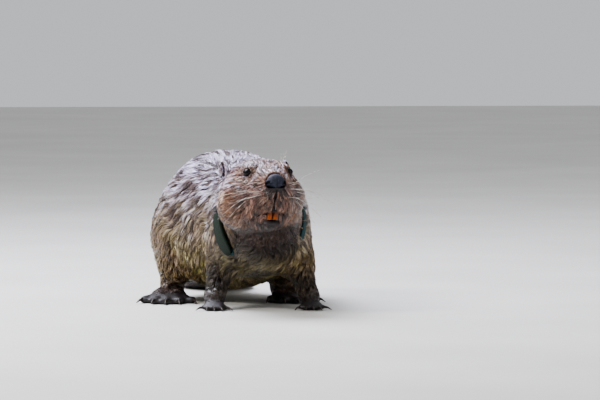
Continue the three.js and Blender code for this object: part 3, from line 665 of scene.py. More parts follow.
class Ground:
    """A surface that hair grows on, with what the coat needs to know at each vertex: lie, depth,
    length, width, crowd, clump, and the marks that go into its colour."""

    def normals(self):
        return vertex_normals(self.verts, self.tris)

    def make(self, name, material, slot, *replaced):
        mesh = mesh_of(name, self.verts, self.tris)
        for mark in MARKS:
            set_attribute(mesh, mark, getattr(self, mark))
        set_attribute(mesh, "bare", self.bare)
        set_attribute(mesh, "along", np.zeros(len(self.verts)))
        set_attribute(mesh, "lock", SKIN_TONE + SKIN_TONE_SWING * drift(self.verts, "skin_tone"))
        obj = piece(name, mesh, material, slot, *replaced)
        bpy.context.view_layer.objects.active = obj
        bpy.ops.object.select_all(action="DESELECT")
        obj.select_set(True)
        bpy.ops.object.mode_set(mode="EDIT")
        bpy.ops.mesh.select_all(action="SELECT")
        bpy.ops.uv.smart_project(**UNWRAP)
        bpy.ops.object.mode_set(mode="OBJECT")
        layer = obj.data.uv_layers[0]
        layer.name = "OFBake"
        uv = np.empty(len(obj.data.loops) * 2)
        layer.data.foreach_get("uv", uv)
        self.corner_uv = uv.reshape(-1, 3, 2)
        return obj


# The hair of the head lies away from a point, in millimetres in the head's frame, and is swept back
# and down. Round an eye it lies away from the eye, and is shortest.
PARTING = (0, 14, -2)
SWEEP = (0, 0.25, -0.15)
EYE_FORCE = 2.2
EYE_SHORTEST = 0.3
LIE_ROUNDS = 6
SWAYS = {"sway": 0.42, "fine_sway": 0.30}  # radians
STIFF_HEAD = 0.6
SNOUT_COAT = {"length": -0.55, "width": -0.25, "crowd": 0.5}  # how the coat changes on the snout

# Where the skin is bare. The pairs are bands.
BARE_TAIL = (0.3, 0.6)
BARE_SOLE = (0.2, 0.5)
BARE_CLEFT = (0.9, 1.5)
BARE_MOUTH = (0.85, 1.15)
BARE_NOSE = {"radius": 15 * MM, "back": 16 * MM, "fade": 6 * MM, "brow": 0.28}
BARE_NOSE_EDGE = (0.92, 1.05)
FACE_BACK = 60 * MM

# The throat lies under a line that rises backward in the head's frame, and faces ahead. Its
# darkness is partly its own darker fur and partly painted shade under the chin.
THROAT = {"z": -70 * MM, "y": 30 * MM, "slope": 0.45, "top": -40 * MM, "lean": 0.4}
THROAT_FACES = (-0.3, 0.3)
# the coat's top, which painted sky light makes less golden
TOP_FACES = (0.3, 0.9)
SKY_FACES = (-0.6, 0.75)
SKY_LEAST = 0.3  # of the painted sheen low down
# less of the painted sheen towards the rear
REAR_LESS = 0.45
UNDER_NOSE_BACK = 25 * MM
CHIN_BACK = 40 * MM
CHIN_WIDTH = 0.85
# How much each area adds to each mark of the colour. The coat's top is less golden and the last
# mark is a pale sheen, both painted sky light on wet hair. In the dark mark, under_nose is a
# painted shadow below the nose pad, behind_ear painted shade round the ear, and throat partly the
# throat's darker fur and partly painted shade under the chin.
PAINT = {
    "warm": {"low": 0.45, "cheek": 0.25, "muzzle": -0.3, "top": -0.25},
    "russet": {"head": 1, "limbs": 0.35},
    "dark": {"muzzle": 0.36, "throat": 0.72, "brow": 0.15, "lids": 0.9, "under_nose": 1}
    | {"behind_ear": 0.6, "chin": 0.75, "speckle": 0.42, "wrist": 0.4, "mottle": 0.12},
    "frost": {"sky": 1, "face": 0.3, "head": -0.26, "muzzle": -0.2, "throat": -0.5}
    | {"temple": 0.42, "streak": 0.3, "face_streak": 0.1},
}
SHEEN_LOST = {"behind_ear": 0.9, "lids": 0.8}  # how much of the painted sheen each loses, at most


class Skin(Ground):
    """The skin of the whole beaver but for its ears."""

    def __init__(self):
        verts, tris, _ = joined(FLESH, SEAL)
        mesh = remeshed(verts, tris, VOXEL)
        for size in FINE_SIZES:
            refine(mesh, near_face_details(size))
        self.verts, self.tris = arrays_of(mesh)
        self.edges = edges_of(self.tris)
        self.weights = region_weights(self.verts, self.edges)
        self.smooth()
        self.sink()
        self.verts = open_eyes(self.verts)
        self.verts = shape_mouth(self.verts)
        self.verts[:, 2] = np.maximum(self.verts[:, 2], 0)
        self.weights /= self.weights.sum(1, keepdims=True)
        self.dress()

    def smooth(self):
        """Evens out the facets of the solids, most on the body and least on the feet."""
        most = SMOOTHING_ELSEWHERE
        rounds = by_region(self.weights, {name: SMOOTHING.get(name, most) for name in REGIONS})
        for _ in range(SMOOTHING_STEPS):
            rate = SMOOTHING_RATE * rounds / most
            self.verts = spread(self.verts, self.edges, most // SMOOTHING_STEPS, rate)

    def sink(self):
        """Draws the skin in by the coat's depth, and notes how deep the coat lies over it."""
        straps, panel = (gap_to(self.verts, names) for names in (STRAPS, ["harness_panel"]))
        depth = coat_depth(self.verts, self.weights, straps, panel)
        depth = spread(depth, self.edges, 3)
        self.verts = self.verts - self.normals() * (depth + SEAL)[:, None]
        pressed = (1 - band(straps, "strap_bares")) * shown(self.verts)
        self.depth = spread(depth * (1 - pressed) + PRESSED_DEPTH * pressed, self.edges, 2)
        self.depth = np.maximum(self.depth, LEAST_DEPTH)
        self.cover = np.where(panel < PANEL_REACH, 0, pressed) * STRAY_RISE

    def dress(self):
        """The lie, length and colour of the coat at each vertex."""
        h = into_head(self.verts)
        normals = self.normals()
        head = self.part("head", "lower_jaw")
        radial = unit(h - np.array(PARTING) * MM) + np.array(SWEEP)
        lie = unit(by_region(self.weights, LIE)) * (1 - head)[:, None]
        lie = unit(lie + radial @ HEAD_TURN.T * head[:, None])
        shorter = np.ones(len(h))
        for side, _ in SIDES:
            away = self.verts - EYES[side]
            far = np.linalg.norm(away, axis=1)
            lie = lie + EYE_FORCE * (1 - off_eye(far, "lie"))[:, None] * unit(away)
            longer = EYE_SHORTEST + (1 - EYE_SHORTEST) * off_eye(far, "short")
            shorter = np.minimum(shorter, longer)
        lie = spread(unit(lie), self.edges, LIE_ROUNDS)
        lie = unit(lie - normals * (lie * normals).sum(1)[:, None])
        sway = sum(most * drift(self.verts, name) for name, most in SWAYS.items())
        self.lie = turned(lie, normals, sway * (1 - STIFF_HEAD * head))
        snout = (1 - band(h[:, 1], "short_snout")) * (head > 0.5)
        of_snout = {key: 1 + change * snout for key, change in SNOUT_COAT.items()}
        self.length = coat_of(self.weights, "length") * MM * of_snout["length"] * shorter
        self.width = coat_of(self.weights, "width") * MM * of_snout["width"]
        self.crowd = coat_of(self.weights, "crowd") * of_snout["crowd"] * self.furred(h)
        self.clump = coat_of(self.weights, "clump")
        self.paint(h, normals, head)

    def part(self, *names):
        return sum(self.weights[:, REGIONS.index(name)] for name in names)

    def furred(self, h):
        """1 where hair grows, 0 on bare skin."""
        x, y, z = h.T
        grows = 1 - ease(self.part("tail_blade"), *BARE_TAIL)
        for name, _ in SIDES:
            far, ring, _ = eye_angles(self.verts, name)
            grows *= np.where(far < EYE["bare"] * EYE_RADIUS, ease(ring, *LASH_LINE), 1)
        behind = np.maximum(y - BARE_NOSE["back"], 0) / BARE_NOSE["fade"]
        nose = np.hypot(x, z) / BARE_NOSE["radius"] + behind
        grows *= ease(nose + BARE_NOSE["brow"] * band(z, "nose_brow"), *BARE_NOSE_EDGE)
        return grows * (1 - self.lips(h)) * (1 - ease(self.sole(), *BARE_SOLE))

    def sole(self):
        return self.part("forepaw", "hindfoot") * (1 - band(self.verts[:, 2], "sole"))

    def lips(self, h):
        """1 on the bare dark skin of the cleft, the lips and the mouth."""
        x, y, z = h.T
        side = np.abs(x)
        face = (y < FACE_BACK) & (self.part("head", "lower_jaw") > 0.5)
        edge = lip_line(x)
        cleft = 1 - ease(side / cleft_width(z), *BARE_CLEFT)
        cleft *= band(z, "bare_cleft_end", edge) * (1 - band(z, "bare_cleft_top", CLEFT_TOP))
        line = hump(z - edge, "bare_lip") * (1 - band(side, "bare_corner"))
        inside = 1 - ease(oval(x, z, "mouth"), *BARE_MOUTH)
        # the band just above the teeth: dark lip skin, with painted shadow at the lip's hem over
        # the teeth
        above = (1 - band(side, "bare_above_teeth")) * hump(z - edge, "above_teeth")
        return np.maximum.reduce([cleft, line, inside, above]) * face

    def paint(self, h, normals, head):
        """The marks that the colour is made of, as sums over the areas that PAINT names."""
        areas = self.areas(h, normals, head)
        total = {mark: summed(shares, areas) for mark, shares in PAINT.items()}
        self.russet = total["russet"]
        self.warm = np.clip(coat_of(self.weights, "warm") + total["warm"], 0, 1)
        self.dark = np.clip(coat_of(self.weights, "dark") + total["dark"], 0, 1)
        # the painted sheen, taken off over the painted shade behind the ear and over the dark lids
        plain = 1 - SHEEN_LOST["behind_ear"] * areas["behind_ear"]
        frost = total["frost"] * plain - SHEEN_LOST["lids"] * areas["lids"]
        self.frost = np.clip(frost, 0, 1)
        self.bare = np.maximum(1 - self.furred(h), self.lips(h))

    def areas(self, h, normals, head):
        """Parts of the coat with a marking of their own, or of painted sheen and painted shade, as
        1 within and 0 without.
        """
        x, y, z = h.T
        side = np.abs(x)
        body = 1 - head
        up = normals[:, 2]
        height = self.verts[:, 2]
        muzzle = head * (1 - band(y, "muzzle_back")) * (1 - band(z, "muzzle_top"))
        jaw_line = THROAT["z"] + THROAT["slope"] * (y - THROAT["y"])
        throat = 1 - band(z - np.minimum(jaw_line, THROAT["top"]), "throat_edge")
        throat *= (1 - band(y, "throat_back")) * (1 - band(side, "throat_side"))
        throat *= ease(-normals[:, 1] - THROAT["lean"] * up, *THROAT_FACES)
        lids = np.zeros(len(x))
        for name, _ in SIDES:
            far, ring, _ = eye_angles(self.verts, name)
            shade = bell(ring - LID_SHADE["at"], LID_SHADE["width"])
            lids = np.maximum(lids, shade * (far < EYE["shade"] * EYE_RADIUS))
        from_ear = np.linalg.norm(np.stack([side, y, z], axis=1) - Ear.MIDDLE * MM, axis=1)
        under_nose = hump(z, "under_nose") * (1 - band(side, "under_nose_side"))
        # painted sheen of sky light: where the coat faces up, more higher up, less towards the rear
        sky = ease(up, *SKY_FACES) * (SKY_LEAST + (1 - SKY_LEAST) * band(height, "sky_height"))
        sheened = coat_of(self.weights, "frost")
        sheened *= 1 - REAR_LESS * band(self.verts[:, 1], "rear_frost")
        return {
            "head": head,
            "limbs": self.part("foreleg", "hindleg", "forepaw", "hindfoot"),
            "top": ease(up, *TOP_FACES),
            "low": (1 - band(height, "low_body")) * body,
            "cheek": head * (1 - band(z, "cheek")),
            "muzzle": muzzle,
            "throat": throat,
            "brow": head * band(z, "brow"),
            "lids": lids,
            "under_nose": head * under_nose * (y < UNDER_NOSE_BACK),
            "behind_ear": (1 - band(from_ear, "ear_shade")) * band(y, "ear_shade_front"),
            "chin": head * bell(oval(x, z, "chin"), CHIN_WIDTH) * (y < CHIN_BACK),
            "speckle": muzzle * drift(self.verts, "speckle"),
            "wrist": self.part("foreleg", "forepaw") * (1 - band(height, "wrist")),
            "mottle": drift(self.verts, "mottle"),
            "sky": sheened * sky,
            "face": head * band(z, "face_frost"),
            "temple": head * hump(z, "temple_frost") * band(y, "nape_frost"),
            "streak": sheened * body * drift(self.verts, "streak"),
            "face_streak": head * drift(self.verts, "face_streak"),
        }


# ---- the coat ----------------------------------------------------------------------------------
# A lock is a flat, closed spike: three rings of three points, and a tip.
RINGS = 3
RING_WIDTH = (0.7, 1.0, 0.7)
RING_HEIGHT = (-0.15, 0.6, 0.95)
TIP_HEIGHT = 1.0
LIFT = (0.75, 1.12)
DRAWN = (0.0, 0.4, 0.8, 1.0)  # how much of the clumping each ring and the tip take
LOCK_THICKNESS = 0.4  # of its width
LOCKS_IN_CLUMP = 7
ALONG = (0.0, 0.4, 0.75, 1.0)
# From the least to the most, as shares of what the ground asks for.
LENGTHS = (0.75, 1.2)
WIDTHS = (0.7, 1.25)
CLUMPING = (0.75, 1.15)
MOST_DRAWN = 0.96
STRAY_TURN = 0.12  # radians
PER_CM2 = 1e4  # square centimetres in a square metre
MARKS = ("warm", "russet", "dark", "frost")


def lock_triangles():
    tris = [(0, 2, 1)]
    for ring in range(RINGS - 1):
        for side in range(3):
            a, b = ring * 3 + side, ring * 3 + (side + 1) % 3
            tris += [(a, b, b + 3), (a, b + 3, a + 3)]
    last = (RINGS - 1) * 3
    tris += [(last + side, last + (side + 1) % 3, RINGS * 3) for side in range(3)]
    return np.array(tris)


LOCK = lock_triangles()


def sow(skin, rng):
    """Roots over the skin, as many as the coat's crowding asks for."""
    corners = skin.verts[skin.tris]
    first, second = (corners[:, k] - corners[:, 0] for k in (1, 2))
    area = np.linalg.norm(np.cross(first, second), axis=1) / 2
    wanted = area * skin.crowd[skin.tris].mean(1) * PER_CM2 * THINNED
    count = int(wanted.sum())
    face = np.sort(rng.choice(len(skin.tris), count, p=wanted / wanted.sum()))
    r = np.sqrt(rng.random(count))
    s = rng.random(count)
    mix = np.stack([1 - r, r * (1 - s), r * s], axis=1)
    return face, mix


def comb(skin, tree, face, mix, rng):
    """The line of each lock: points on the skin that follow the lie of the coat, and the outward
    direction and the coat's depth at each."""
    count = len(face)
    tris = skin.tris
    normals = skin.normals()
    face_normal = unit(normals[tris].sum(1))
    face_lie = unit(skin.lie[tris].sum(1))
    face_depth = skin.depth[tris].mean(1)
    face_cover = skin.cover[tris].mean(1)
    strays = rng.random(count) < STRAYS
    spot = (skin.verts[tris[face]] * mix[:, :, None]).sum(1)
    length = skin.length[tris[face]].mean(1) * rng.uniform(*LENGTHS, count)
    stray = rng.normal(0, STRAY_TURN, count)
    spots, outward, depths = [spot], [face_normal[face]], [face_depth[face]]
    at = face
    for _ in range(RINGS):
        heading = turned(face_lie[at], face_normal[at], stray)
        spot, at, _ = nearest(tree, spots[-1] + heading * (length / RINGS)[:, None])
        spots.append(spot)
        outward.append(face_normal[at])
        depths.append(face_depth[at] + face_cover[at] * strays)
    return np.array(spots), np.array(outward), np.array(depths)


def clump_of(roots, rng):
    """For each root, the number of the root that leads its clump."""
    leaders = rng.choice(len(roots), max(len(roots) // LOCKS_IN_CLUMP, 1), replace=False)
    tree = KDTree(len(leaders))
    for i, leader in enumerate(leaders):
        tree.insert(roots[leader], i)
    tree.balance()
    return leaders[[tree.find(p)[1] for p in roots.tolist()]]


def locks(skin, tree, rng):
    """The points of every lock, and what its material and its patch need to know."""
    face, mix = sow(skin, rng)
    spots, outward, depths = comb(skin, tree, face, mix, rng)
    count = len(face)
    corners = skin.tris[face]
    leader = clump_of(spots[0], rng)
    share = skin.clump[corners].mean(1)
    drawn = (share * rng.uniform(*CLUMPING, count))[:, None]
    lift = rng.uniform(*LIFT, count)
    heights = (*RING_HEIGHT, TIP_HEIGHT)
    lines = []
    for k in range(RINGS + 1):
        line = spots[k] + outward[k] * (depths[k] * heights[k] * lift)[:, None]
        pull = np.clip(drawn * DRAWN[k], 0, MOST_DRAWN)
        lines.append(line + (line[leader] - line) * pull)
    width = skin.width[corners].mean(1) * rng.uniform(*WIDTHS, count)
    points = []
    for k in range(RINGS):
        heading = unit(lines[k + 1] - lines[max(k - 1, 0)])
        across = unit(np.cross(heading, outward[k])) * (width * RING_WIDTH[k] / 2)[:, None]
        up = outward[k] * (width * LOCK_THICKNESS * RING_WIDTH[k])[:, None]
        points += [lines[k] - across, lines[k] + across, lines[k] + up]
    points.append(lines[RINGS])
    uv_root = (skin.corner_uv[face] * mix[:, :, None]).sum(1)
    marks = {name: getattr(skin, name)[corners].mean(1) for name in MARKS}
    tone = rng.random(count) - 0.5
    mixed = (share * tone[leader] + (1 - share) * tone) / np.hypot(share, 1 - share)
    marks["lock"] = np.clip(0.5 + mixed, 0, 1)
    return np.stack(points, axis=1), uv_root, marks


def patch_offsets():
    rows = [(side / 2 - 0.5, ring / RINGS - 0.5) for ring in range(RINGS) for side in (0, 2, 1)]
    return np.array(rows + [(0, 0.5)]) * PATCH


def make_coat(name, skin, material, rng, slots):
    """Joined pieces of locks over a ground, in turn from the nose back. The slots are handed on
    to piece(), which does not use them."""
    points, uv_root, marks = locks(skin, tree_of(skin.verts, skin.tris), rng)
    order = np.argsort(points[:, 0, 1], kind="stable")
    pieces = math.ceil(len(order) * len(LOCK) / PIECE_TRIANGLES)
    per_lock = RINGS * 3 + 1
    along = [ALONG[k] for k in range(RINGS) for _ in range(3)] + [ALONG[RINGS]]
    for number, chosen in enumerate(np.array_split(order, pieces)):
        count = len(chosen)
        tris = (LOCK[None] + (np.arange(count) * per_lock)[:, None, None]).reshape(-1, 3)
        mesh = mesh_of(f"{name}_{number + 1}", points[chosen].reshape(-1, 3), tris)
        for mark, values in marks.items():
            set_attribute(mesh, mark, np.repeat(values[chosen], per_lock))
        set_attribute(mesh, "along", np.tile(along, count))
        set_attribute(mesh, "bare", np.zeros(count * per_lock))
        set_uv(mesh, (uv_root[chosen][:, None] + patch_offsets()[None]).reshape(-1, 2))
        piece(f"{name}_{number + 1}", mesh, material, slots[min(number, len(slots) - 1)])


# ---- ears --------------------------------------------------------------------------------------
def fine_copy(names, voxel, rounds):
    """The solids of some nodes with their facets evened out."""
    verts, tris, _ = joined(names)
    verts, tris = arrays_of(remeshed(verts, tris, voxel))
    return spread(verts, edges_of(tris), rounds), tris


class Ear(Ground):
    """A small round ear with a thick rolled rim, furred behind and along the rim. Its frame is the
    head's, in millimetres from the middle of the ear, mirrored for the right one."""

    FINE = (0.7 * MM, 10)
    MIDDLE = np.array([48, 114, 33])  # of the left ear, in the head's frame, in millimetres
    BOWL = np.array([2.2, -5.5, 0.3])
    BOWL_RADII = np.array([4.8, 7.8, 11.3])
    BOWL_EDGE = (1.04, 1.2)
    BOWL_DEEP = (-7, -2)  # from its mouth to its floor
    RADII = np.array([7, 10, 13.5])
    FLATTEST = 0.02
    RIM_FROM = 4.2  # how far outward the slit ends and the rim begins
    RIM_FADE = 1.6
    RIM_ROUNDS = 12
    ROLL = 1.8 * MM
    OUTER = (-1.5, 0.5)
    BEHIND = (-1.5, 2.5)
    SLIT = (0.3, 0.8)
    LIE = (-0.1, 0.75, 0.65)
    LIFT = 1e-4  # keeps the lie from vanishing where the surface faces along it
    CROWD = 230
    FACE_THINNER = 0.95
    HAIR = {
        "depth": 1.1 * MM,
        "cover": 0.0,
        "length": 7 * MM,
        "width": 0.7 * MM,
        "clump": 0.45,
        "warm": 0.2,
        "russet": 0.6,
    }
    # The slit is dark as painted shade in the ear's opening, and the back as painted shade behind
    # the rim. The rim and the hollow are pale, partly the ear's own pale hair and partly painted
    # sheen.
    DARK = {"all": 0.3, "slit": 1, "rim": -0.35, "behind": 0.6}
    SHEEN_AND_PALE = {"all": 0.15, "rim": 0.6, "hollow": 0.5, "slit": -2, "behind": -1}

    def __init__(self, side, sign):
        self.verts, self.tris = fine_copy([f"ear_{side}"], *self.FINE)
        self.edges = edges_of(self.tris)
        h = into_head(self.verts) / MM * np.array([sign, 1, 1]) - self.MIDDLE
        from_bowl = np.linalg.norm((h - self.BOWL) / self.BOWL_RADII, axis=1)
        self.hollow = 1 - ease(from_bowl, *self.BOWL_EDGE)
        filled = self.hollow * ease(h[:, 0], self.RIM_FROM, self.RIM_FROM + self.RIM_FADE)
        across = np.hypot(h[:, 0] / self.RADII[0], h[:, 2] / self.RADII[2])
        face = -self.RADII[1] * np.sqrt(np.maximum(1 - across**2, self.FLATTEST))
        forward = HEAD_TURN @ np.array([0.0, 1.0, 0.0])
        self.verts = self.verts + forward * ((face - h[:, 1]) * filled * MM)[:, None]
        self.hollow *= 1 - filled
        soft = spread(self.hollow, self.edges, self.RIM_ROUNDS)
        rim = np.clip(4 * soft * (1 - soft), 0, 1)
        self.verts = self.verts + self.normals() * (self.ROLL * rim)[:, None]
        self.hollow *= ease(h[:, 1], *self.BOWL_DEEP)
        self.fur(rim, h, sign)

    def fur(self, rim, h, sign):
        count = len(self.verts)
        normals = self.normals()
        outer = ease(h[:, 0], *self.OUTER)
        back = HEAD_TURN @ unit(np.array(self.LIE) * [sign, 1, 1])
        lie = np.tile(back, (count, 1))
        along = lie - normals * (lie * normals).sum(1)[:, None]
        self.lie = unit(along + normals * self.LIFT)
        for name, value in self.HAIR.items():
            setattr(self, name, np.full(count, value))
        slit = ease(self.hollow, *self.SLIT) * outer
        behind = ease(h[:, 1], *self.BEHIND)
        face = self.FACE_THINNER * outer * (1 - behind) * (1 - self.hollow)
        self.crowd = self.CROWD * (1 - slit) * (1 - face)
        areas = {"all": 1, "slit": slit, "rim": rim, "behind": behind, "hollow": self.hollow}
        self.dark = np.clip(summed(self.DARK, areas), 0, 1)
        self.frost = np.clip(summed(self.SHEEN_AND_PALE, areas), 0, 1)
        self.bare = slit


# ---- nose, eyes, teeth and claws ---------------------------------------------------------------
# The nose pad, in millimetres in the head's frame. The pairs are bands.
NOSE_FINE = (0.6 * MM, 14)
NOSE_PROUD = 0.7
NOSE_FRONT = (6, 13)  # y
GROOVE = {"deep": 1.2, "width": 0.8}
GROOVE_TOP = (0, 6)  # z
WING = {"swell": 0.9, "x": 9.5, "z": -4, "size": 4.5}
NOSTRIL = {"deep": 6.0, "x": 13.2, "z": -2.6, "lean": 0.3, "wide": 2.9, "high": 3.1}
NOSTRIL_TAIL = {"x": 10.4, "z": -5.2, "wide": 2.4, "high": 1.1}
NOSTRIL_EDGE = (0.6, 1.15)
NOSTRIL_FLOOR = (15, 17)  # y
POINT = {"rise": 4.0, "side": (1, 13), "low": (3, 11)}  # what draws the lower border to a point
# Painted shade on the nose pad: in the nostrils, in the middle groove and along the lower border.
NOSE_DARK = {"nostril": 1.6, "groove": 1 / 3}
NOSE_FOOT = (9, 12)  # -z
NOSE_TOP = {"bow": 0.04, "edge": (7, 14)}


def nose_mesh():
    """The nose pad: a middle groove, a lower border drawn to a point, and comma nostrils."""
    verts, tris = fine_copy(["nose_pad"], *NOSE_FINE)
    verts = verts + vertex_normals(verts, tris) * NOSE_PROUD * MM
    h = into_head(verts)
    x, y, z = h.T / MM
    side = np.abs(x)
    front = 1 - ease(y, *NOSE_FRONT)
    groove = GROOVE["deep"] * bell(x, GROOVE["width"]) * (1 - ease(z, *GROOVE_TOP)) * front
    wing = WING["swell"] * bell(np.hypot(side - WING["x"], z - WING["z"]), WING["size"]) * front
    above = z - NOSTRIL["z"]
    out = side - NOSTRIL["x"] + NOSTRIL["lean"] * above
    hole = np.hypot(out / NOSTRIL["wide"], above / NOSTRIL["high"])
    tail = np.hypot(
        (side - NOSTRIL_TAIL["x"]) / NOSTRIL_TAIL["wide"],
        (z - NOSTRIL_TAIL["z"]) / NOSTRIL_TAIL["high"],
    )
    open_to = 1 - ease(np.minimum(hole, tail), *NOSTRIL_EDGE)
    sunk = NOSTRIL["deep"] * open_to * (1 - ease(y, *NOSTRIL_FLOOR))
    rise = POINT["rise"] * ease(side, *POINT["side"]) * ease(-z, *POINT["low"])
    h[:, 1] = (y + groove - wing + sunk) * MM
    h[:, 2] = (z + rise) * MM
    mesh = mesh_of("nose", from_head(h), tris)
    # painted shade in the nostrils, the groove and along the lower border
    dark = NOSE_DARK["nostril"] * open_to + NOSE_DARK["groove"] * groove + ease(-z, *NOSE_FOOT)
    set_attribute(mesh, "dark", np.clip(dark, 0, 1))
    set_attribute(mesh, "edge", ease(z + NOSE_TOP["bow"] * side**2, *NOSE_TOP["edge"]))
    return mesh


def capped_tube(rings, first, last):
    """Rings of points, closed by a point at each end."""
    steps, count = rings.shape[:2]
    verts = np.concatenate([rings.reshape(-1, 3), [first], [last]])
    end = (steps - 1) * count
    tris = []
    for k in range(count):
        n = (k + 1) % count
        for a in range(0, end, count):
            tris += [(a + k, a + n, a + count + n), (a + k, a + count + n, a + count + k)]
        tris += [(len(verts) - 2, n, k), (len(verts) - 1, end + k, end + n)]
    return verts, np.array(tris)


EYEBALL = {"radius": 0.985, "cornea": 0.035, "cornea_width": 0.5, "steps": 32, "sides": 48}


def eye_mesh(side):
    """An eyeball with the cornea standing a little proud of it."""
    axes = eye_axes(side)
    around = np.linspace(0, 2 * math.pi, EYEBALL["sides"], endpoint=False)[:, None]
    circle = np.cos(around) * axes[1] + np.sin(around) * axes[2]
    turn = np.linspace(0, math.pi, EYEBALL["steps"] + 1)
    cornea = EYEBALL["cornea"] * bell(math.pi - turn, EYEBALL["cornea_width"])
    radius = EYE_RADIUS * (EYEBALL["radius"] + cornea)
    line = EYES[side] - np.outer(radius * np.cos(turn), axes[0])
    rings = line[:, None] + circle * (radius * np.sin(turn))[:, None, None]
    verts, tris = capped_tube(rings[1:-1], line[0], line[-1])
    mesh = mesh_of(f"eye_{side}", verts, tris)
    out = unit(verts - EYES[side]) @ axes[0]
    set_attribute(mesh, "iris", np.degrees(np.arccos(np.clip(out, -1, 1))) / 90)
    return mesh


INCISOR_FINE = (0.3 * MM, 4)
CLAW_FINE = (0.45 * MM, 6)
CLAW_CLEARANCE = 0.3 * MM  # above the floor
TOES = 5


def make_small_parts():
    piece("nose", nose_mesh(), nose_material(), "nose_skin", "nose_pad")
    for side, _ in SIDES:
        piece(f"eye_{side}_fine", eye_mesh(side), eye_material(), "eye", f"eye_{side}")
    enamel = enamel_material()
    for side, _ in SIDES:
        verts, tris = fine_copy([f"incisor_{side}"], *INCISOR_FINE)
        mesh = mesh_of(f"incisor_{side}_fine", verts, tris)
        set_attribute(mesh, "low", 1 - band(into_head(verts)[:, 2], "tooth"))
        piece(f"incisor_{side}_fine", mesh, enamel, "enamel", f"incisor_{side}")
    horn = plain_material("claw")
    for side, _ in SIDES:
        for limb in ("fore", "hind"):
            names = [f"claw_{limb}_{side}_{toe + 1}" for toe in range(TOES)]
            verts, tris = fine_copy(names, *CLAW_FINE)
            verts[:, 2] = np.maximum(verts[:, 2], CLAW_CLEARANCE)
            name = f"claws_{limb}_{side}"
            piece(name, mesh_of(name, verts, tris), horn, "claw", *names)


# ---- whiskers ----------------------------------------------------------------------------------
# Whiskers, in millimetres in the head's frame. The pairs in RANGES are for random draws.
WHISKER = {"root": 0.36 * MM, "tip": 0.13 * MM, "sides": 5, "steps": 9}
CURL = (0, 1, 0.2)  # which way a whisker curls
OFF_AXIS = (0.1, 0.2, 1)  # a direction that none of them takes
SHORT_ROWS = ((-5, 0.30), (-12, -0.08), (-20, -0.42))  # height of the roots, and rise
SHORT_COLUMNS = ((17, 15), (26, 23))  # how far to the side and back the roots are
SHORT_RANGES = {"back": (-0.35, 0.1), "length": (24, 60), "sag": (-3, 11), "curl": (-4, 8)}
SHORT_SPREAD = {"root": 1.6, "rise": 0.13}
BROW_HAIR = {"count": 4, "root": (17, 44, 27), "next": (3, 2, 0), "back": 0.1}
BROW_RANGES = {"slant": (0.1, 1.3), "length": (15, 27), "curl": (1, 5)}
LONG_ROOT = (34, 34)  # how far to the side and back
LONG_AHEAD = -0.15
# The longest, on each side: height of the root, rise, length, sag and backward curl.
LONG_WHISKERS = (
    (-2, 0.75, 58, 14, 6),
    (-10, -0.1, 46, 6, 4),
    (-13, -0.25, 66, 4, 6),
    (-20, -0.5, 50, 12, 2),
    (-24, -0.8, 44, 10, 2),
)


def whisker(root, heading, length, sag, curl):
    """The middle line of a whisker, in the head's frame."""
    t = np.linspace(0, 1, WHISKER["steps"])[:, None]
    sagging = np.array([0, 0, -1]) * sag * t**2
    return root + heading * length * t + sagging + np.array(CURL) * curl * t**2


def tube(line, start, end, sides):
    """A tapered tube along a line of points."""
    ahead = unit(np.gradient(line, axis=0))
    across = unit(np.cross(ahead, OFF_AXIS))
    up = np.cross(across, ahead)
    turn = np.arange(sides) * 2 * math.pi / sides
    radius = np.linspace(start, end, len(line))[:, None, None]
    cos, sin = np.cos(turn)[None, :, None], np.sin(turn)[None, :, None]
    ring = across[:, None] * cos + up[:, None] * sin
    return capped_tube(line[:, None] + ring * radius, line[0], line[-1])


def whisker_lines(tree, rng):
    """Rows of short ones on each side of the muzzle, the longest, and a few hairs over each eye."""

    def length_of(ranges, name):
        return rng.uniform(*ranges[name]) * MM

    lines = []
    for _, sign in SIDES:
        for z, rise in SHORT_ROWS:
            for x, y in SHORT_COLUMNS:
                root = np.array([x, y, z]) + rng.normal(0, SHORT_SPREAD["root"], 3)
                root[0] *= sign
                back = rng.uniform(*SHORT_RANGES["back"])
                heading = [sign, back, rise + rng.normal(0, SHORT_SPREAD["rise"])]
                sizes = [length_of(SHORT_RANGES, name) for name in ("length", "sag", "curl")]
                lines.append(whisker(root * MM, unit(np.array(heading)), *sizes))
        x, y = LONG_ROOT
        for z, rise, *sizes in LONG_WHISKERS:
            root = np.array([sign * x, y, z]) * MM
            heading = unit(np.array([sign, LONG_AHEAD, rise]))
            lines.append(whisker(root, heading, *(size * MM for size in sizes)))
        for k in range(BROW_HAIR["count"]):
            root = np.array(BROW_HAIR["root"]) + k * np.array(BROW_HAIR["next"])
            slant = rng.uniform(*BROW_RANGES["slant"])
            heading = unit(np.array([sign * slant, BROW_HAIR["back"], 1]))
            length, curl = (length_of(BROW_RANGES, name) for name in ("length", "curl"))
            lines.append(whisker(root * [sign, 1, 1] * MM, heading, length, 0, curl))
    out = []
    for line in lines:
        straight = from_head(line)
        root = nearest(tree, straight[:1])[0][0]
        out.append(straight + (root - straight[0]))
    return out


def make_whiskers(tree, material, rng):
    shape = WHISKER["root"], WHISKER["tip"], WHISKER["sides"]
    tubes = [tube(line, *shape) for line in whisker_lines(tree, rng)]
    piece("whiskers", mesh_of("whiskers", *stacked(tubes)), material, "face_fur")


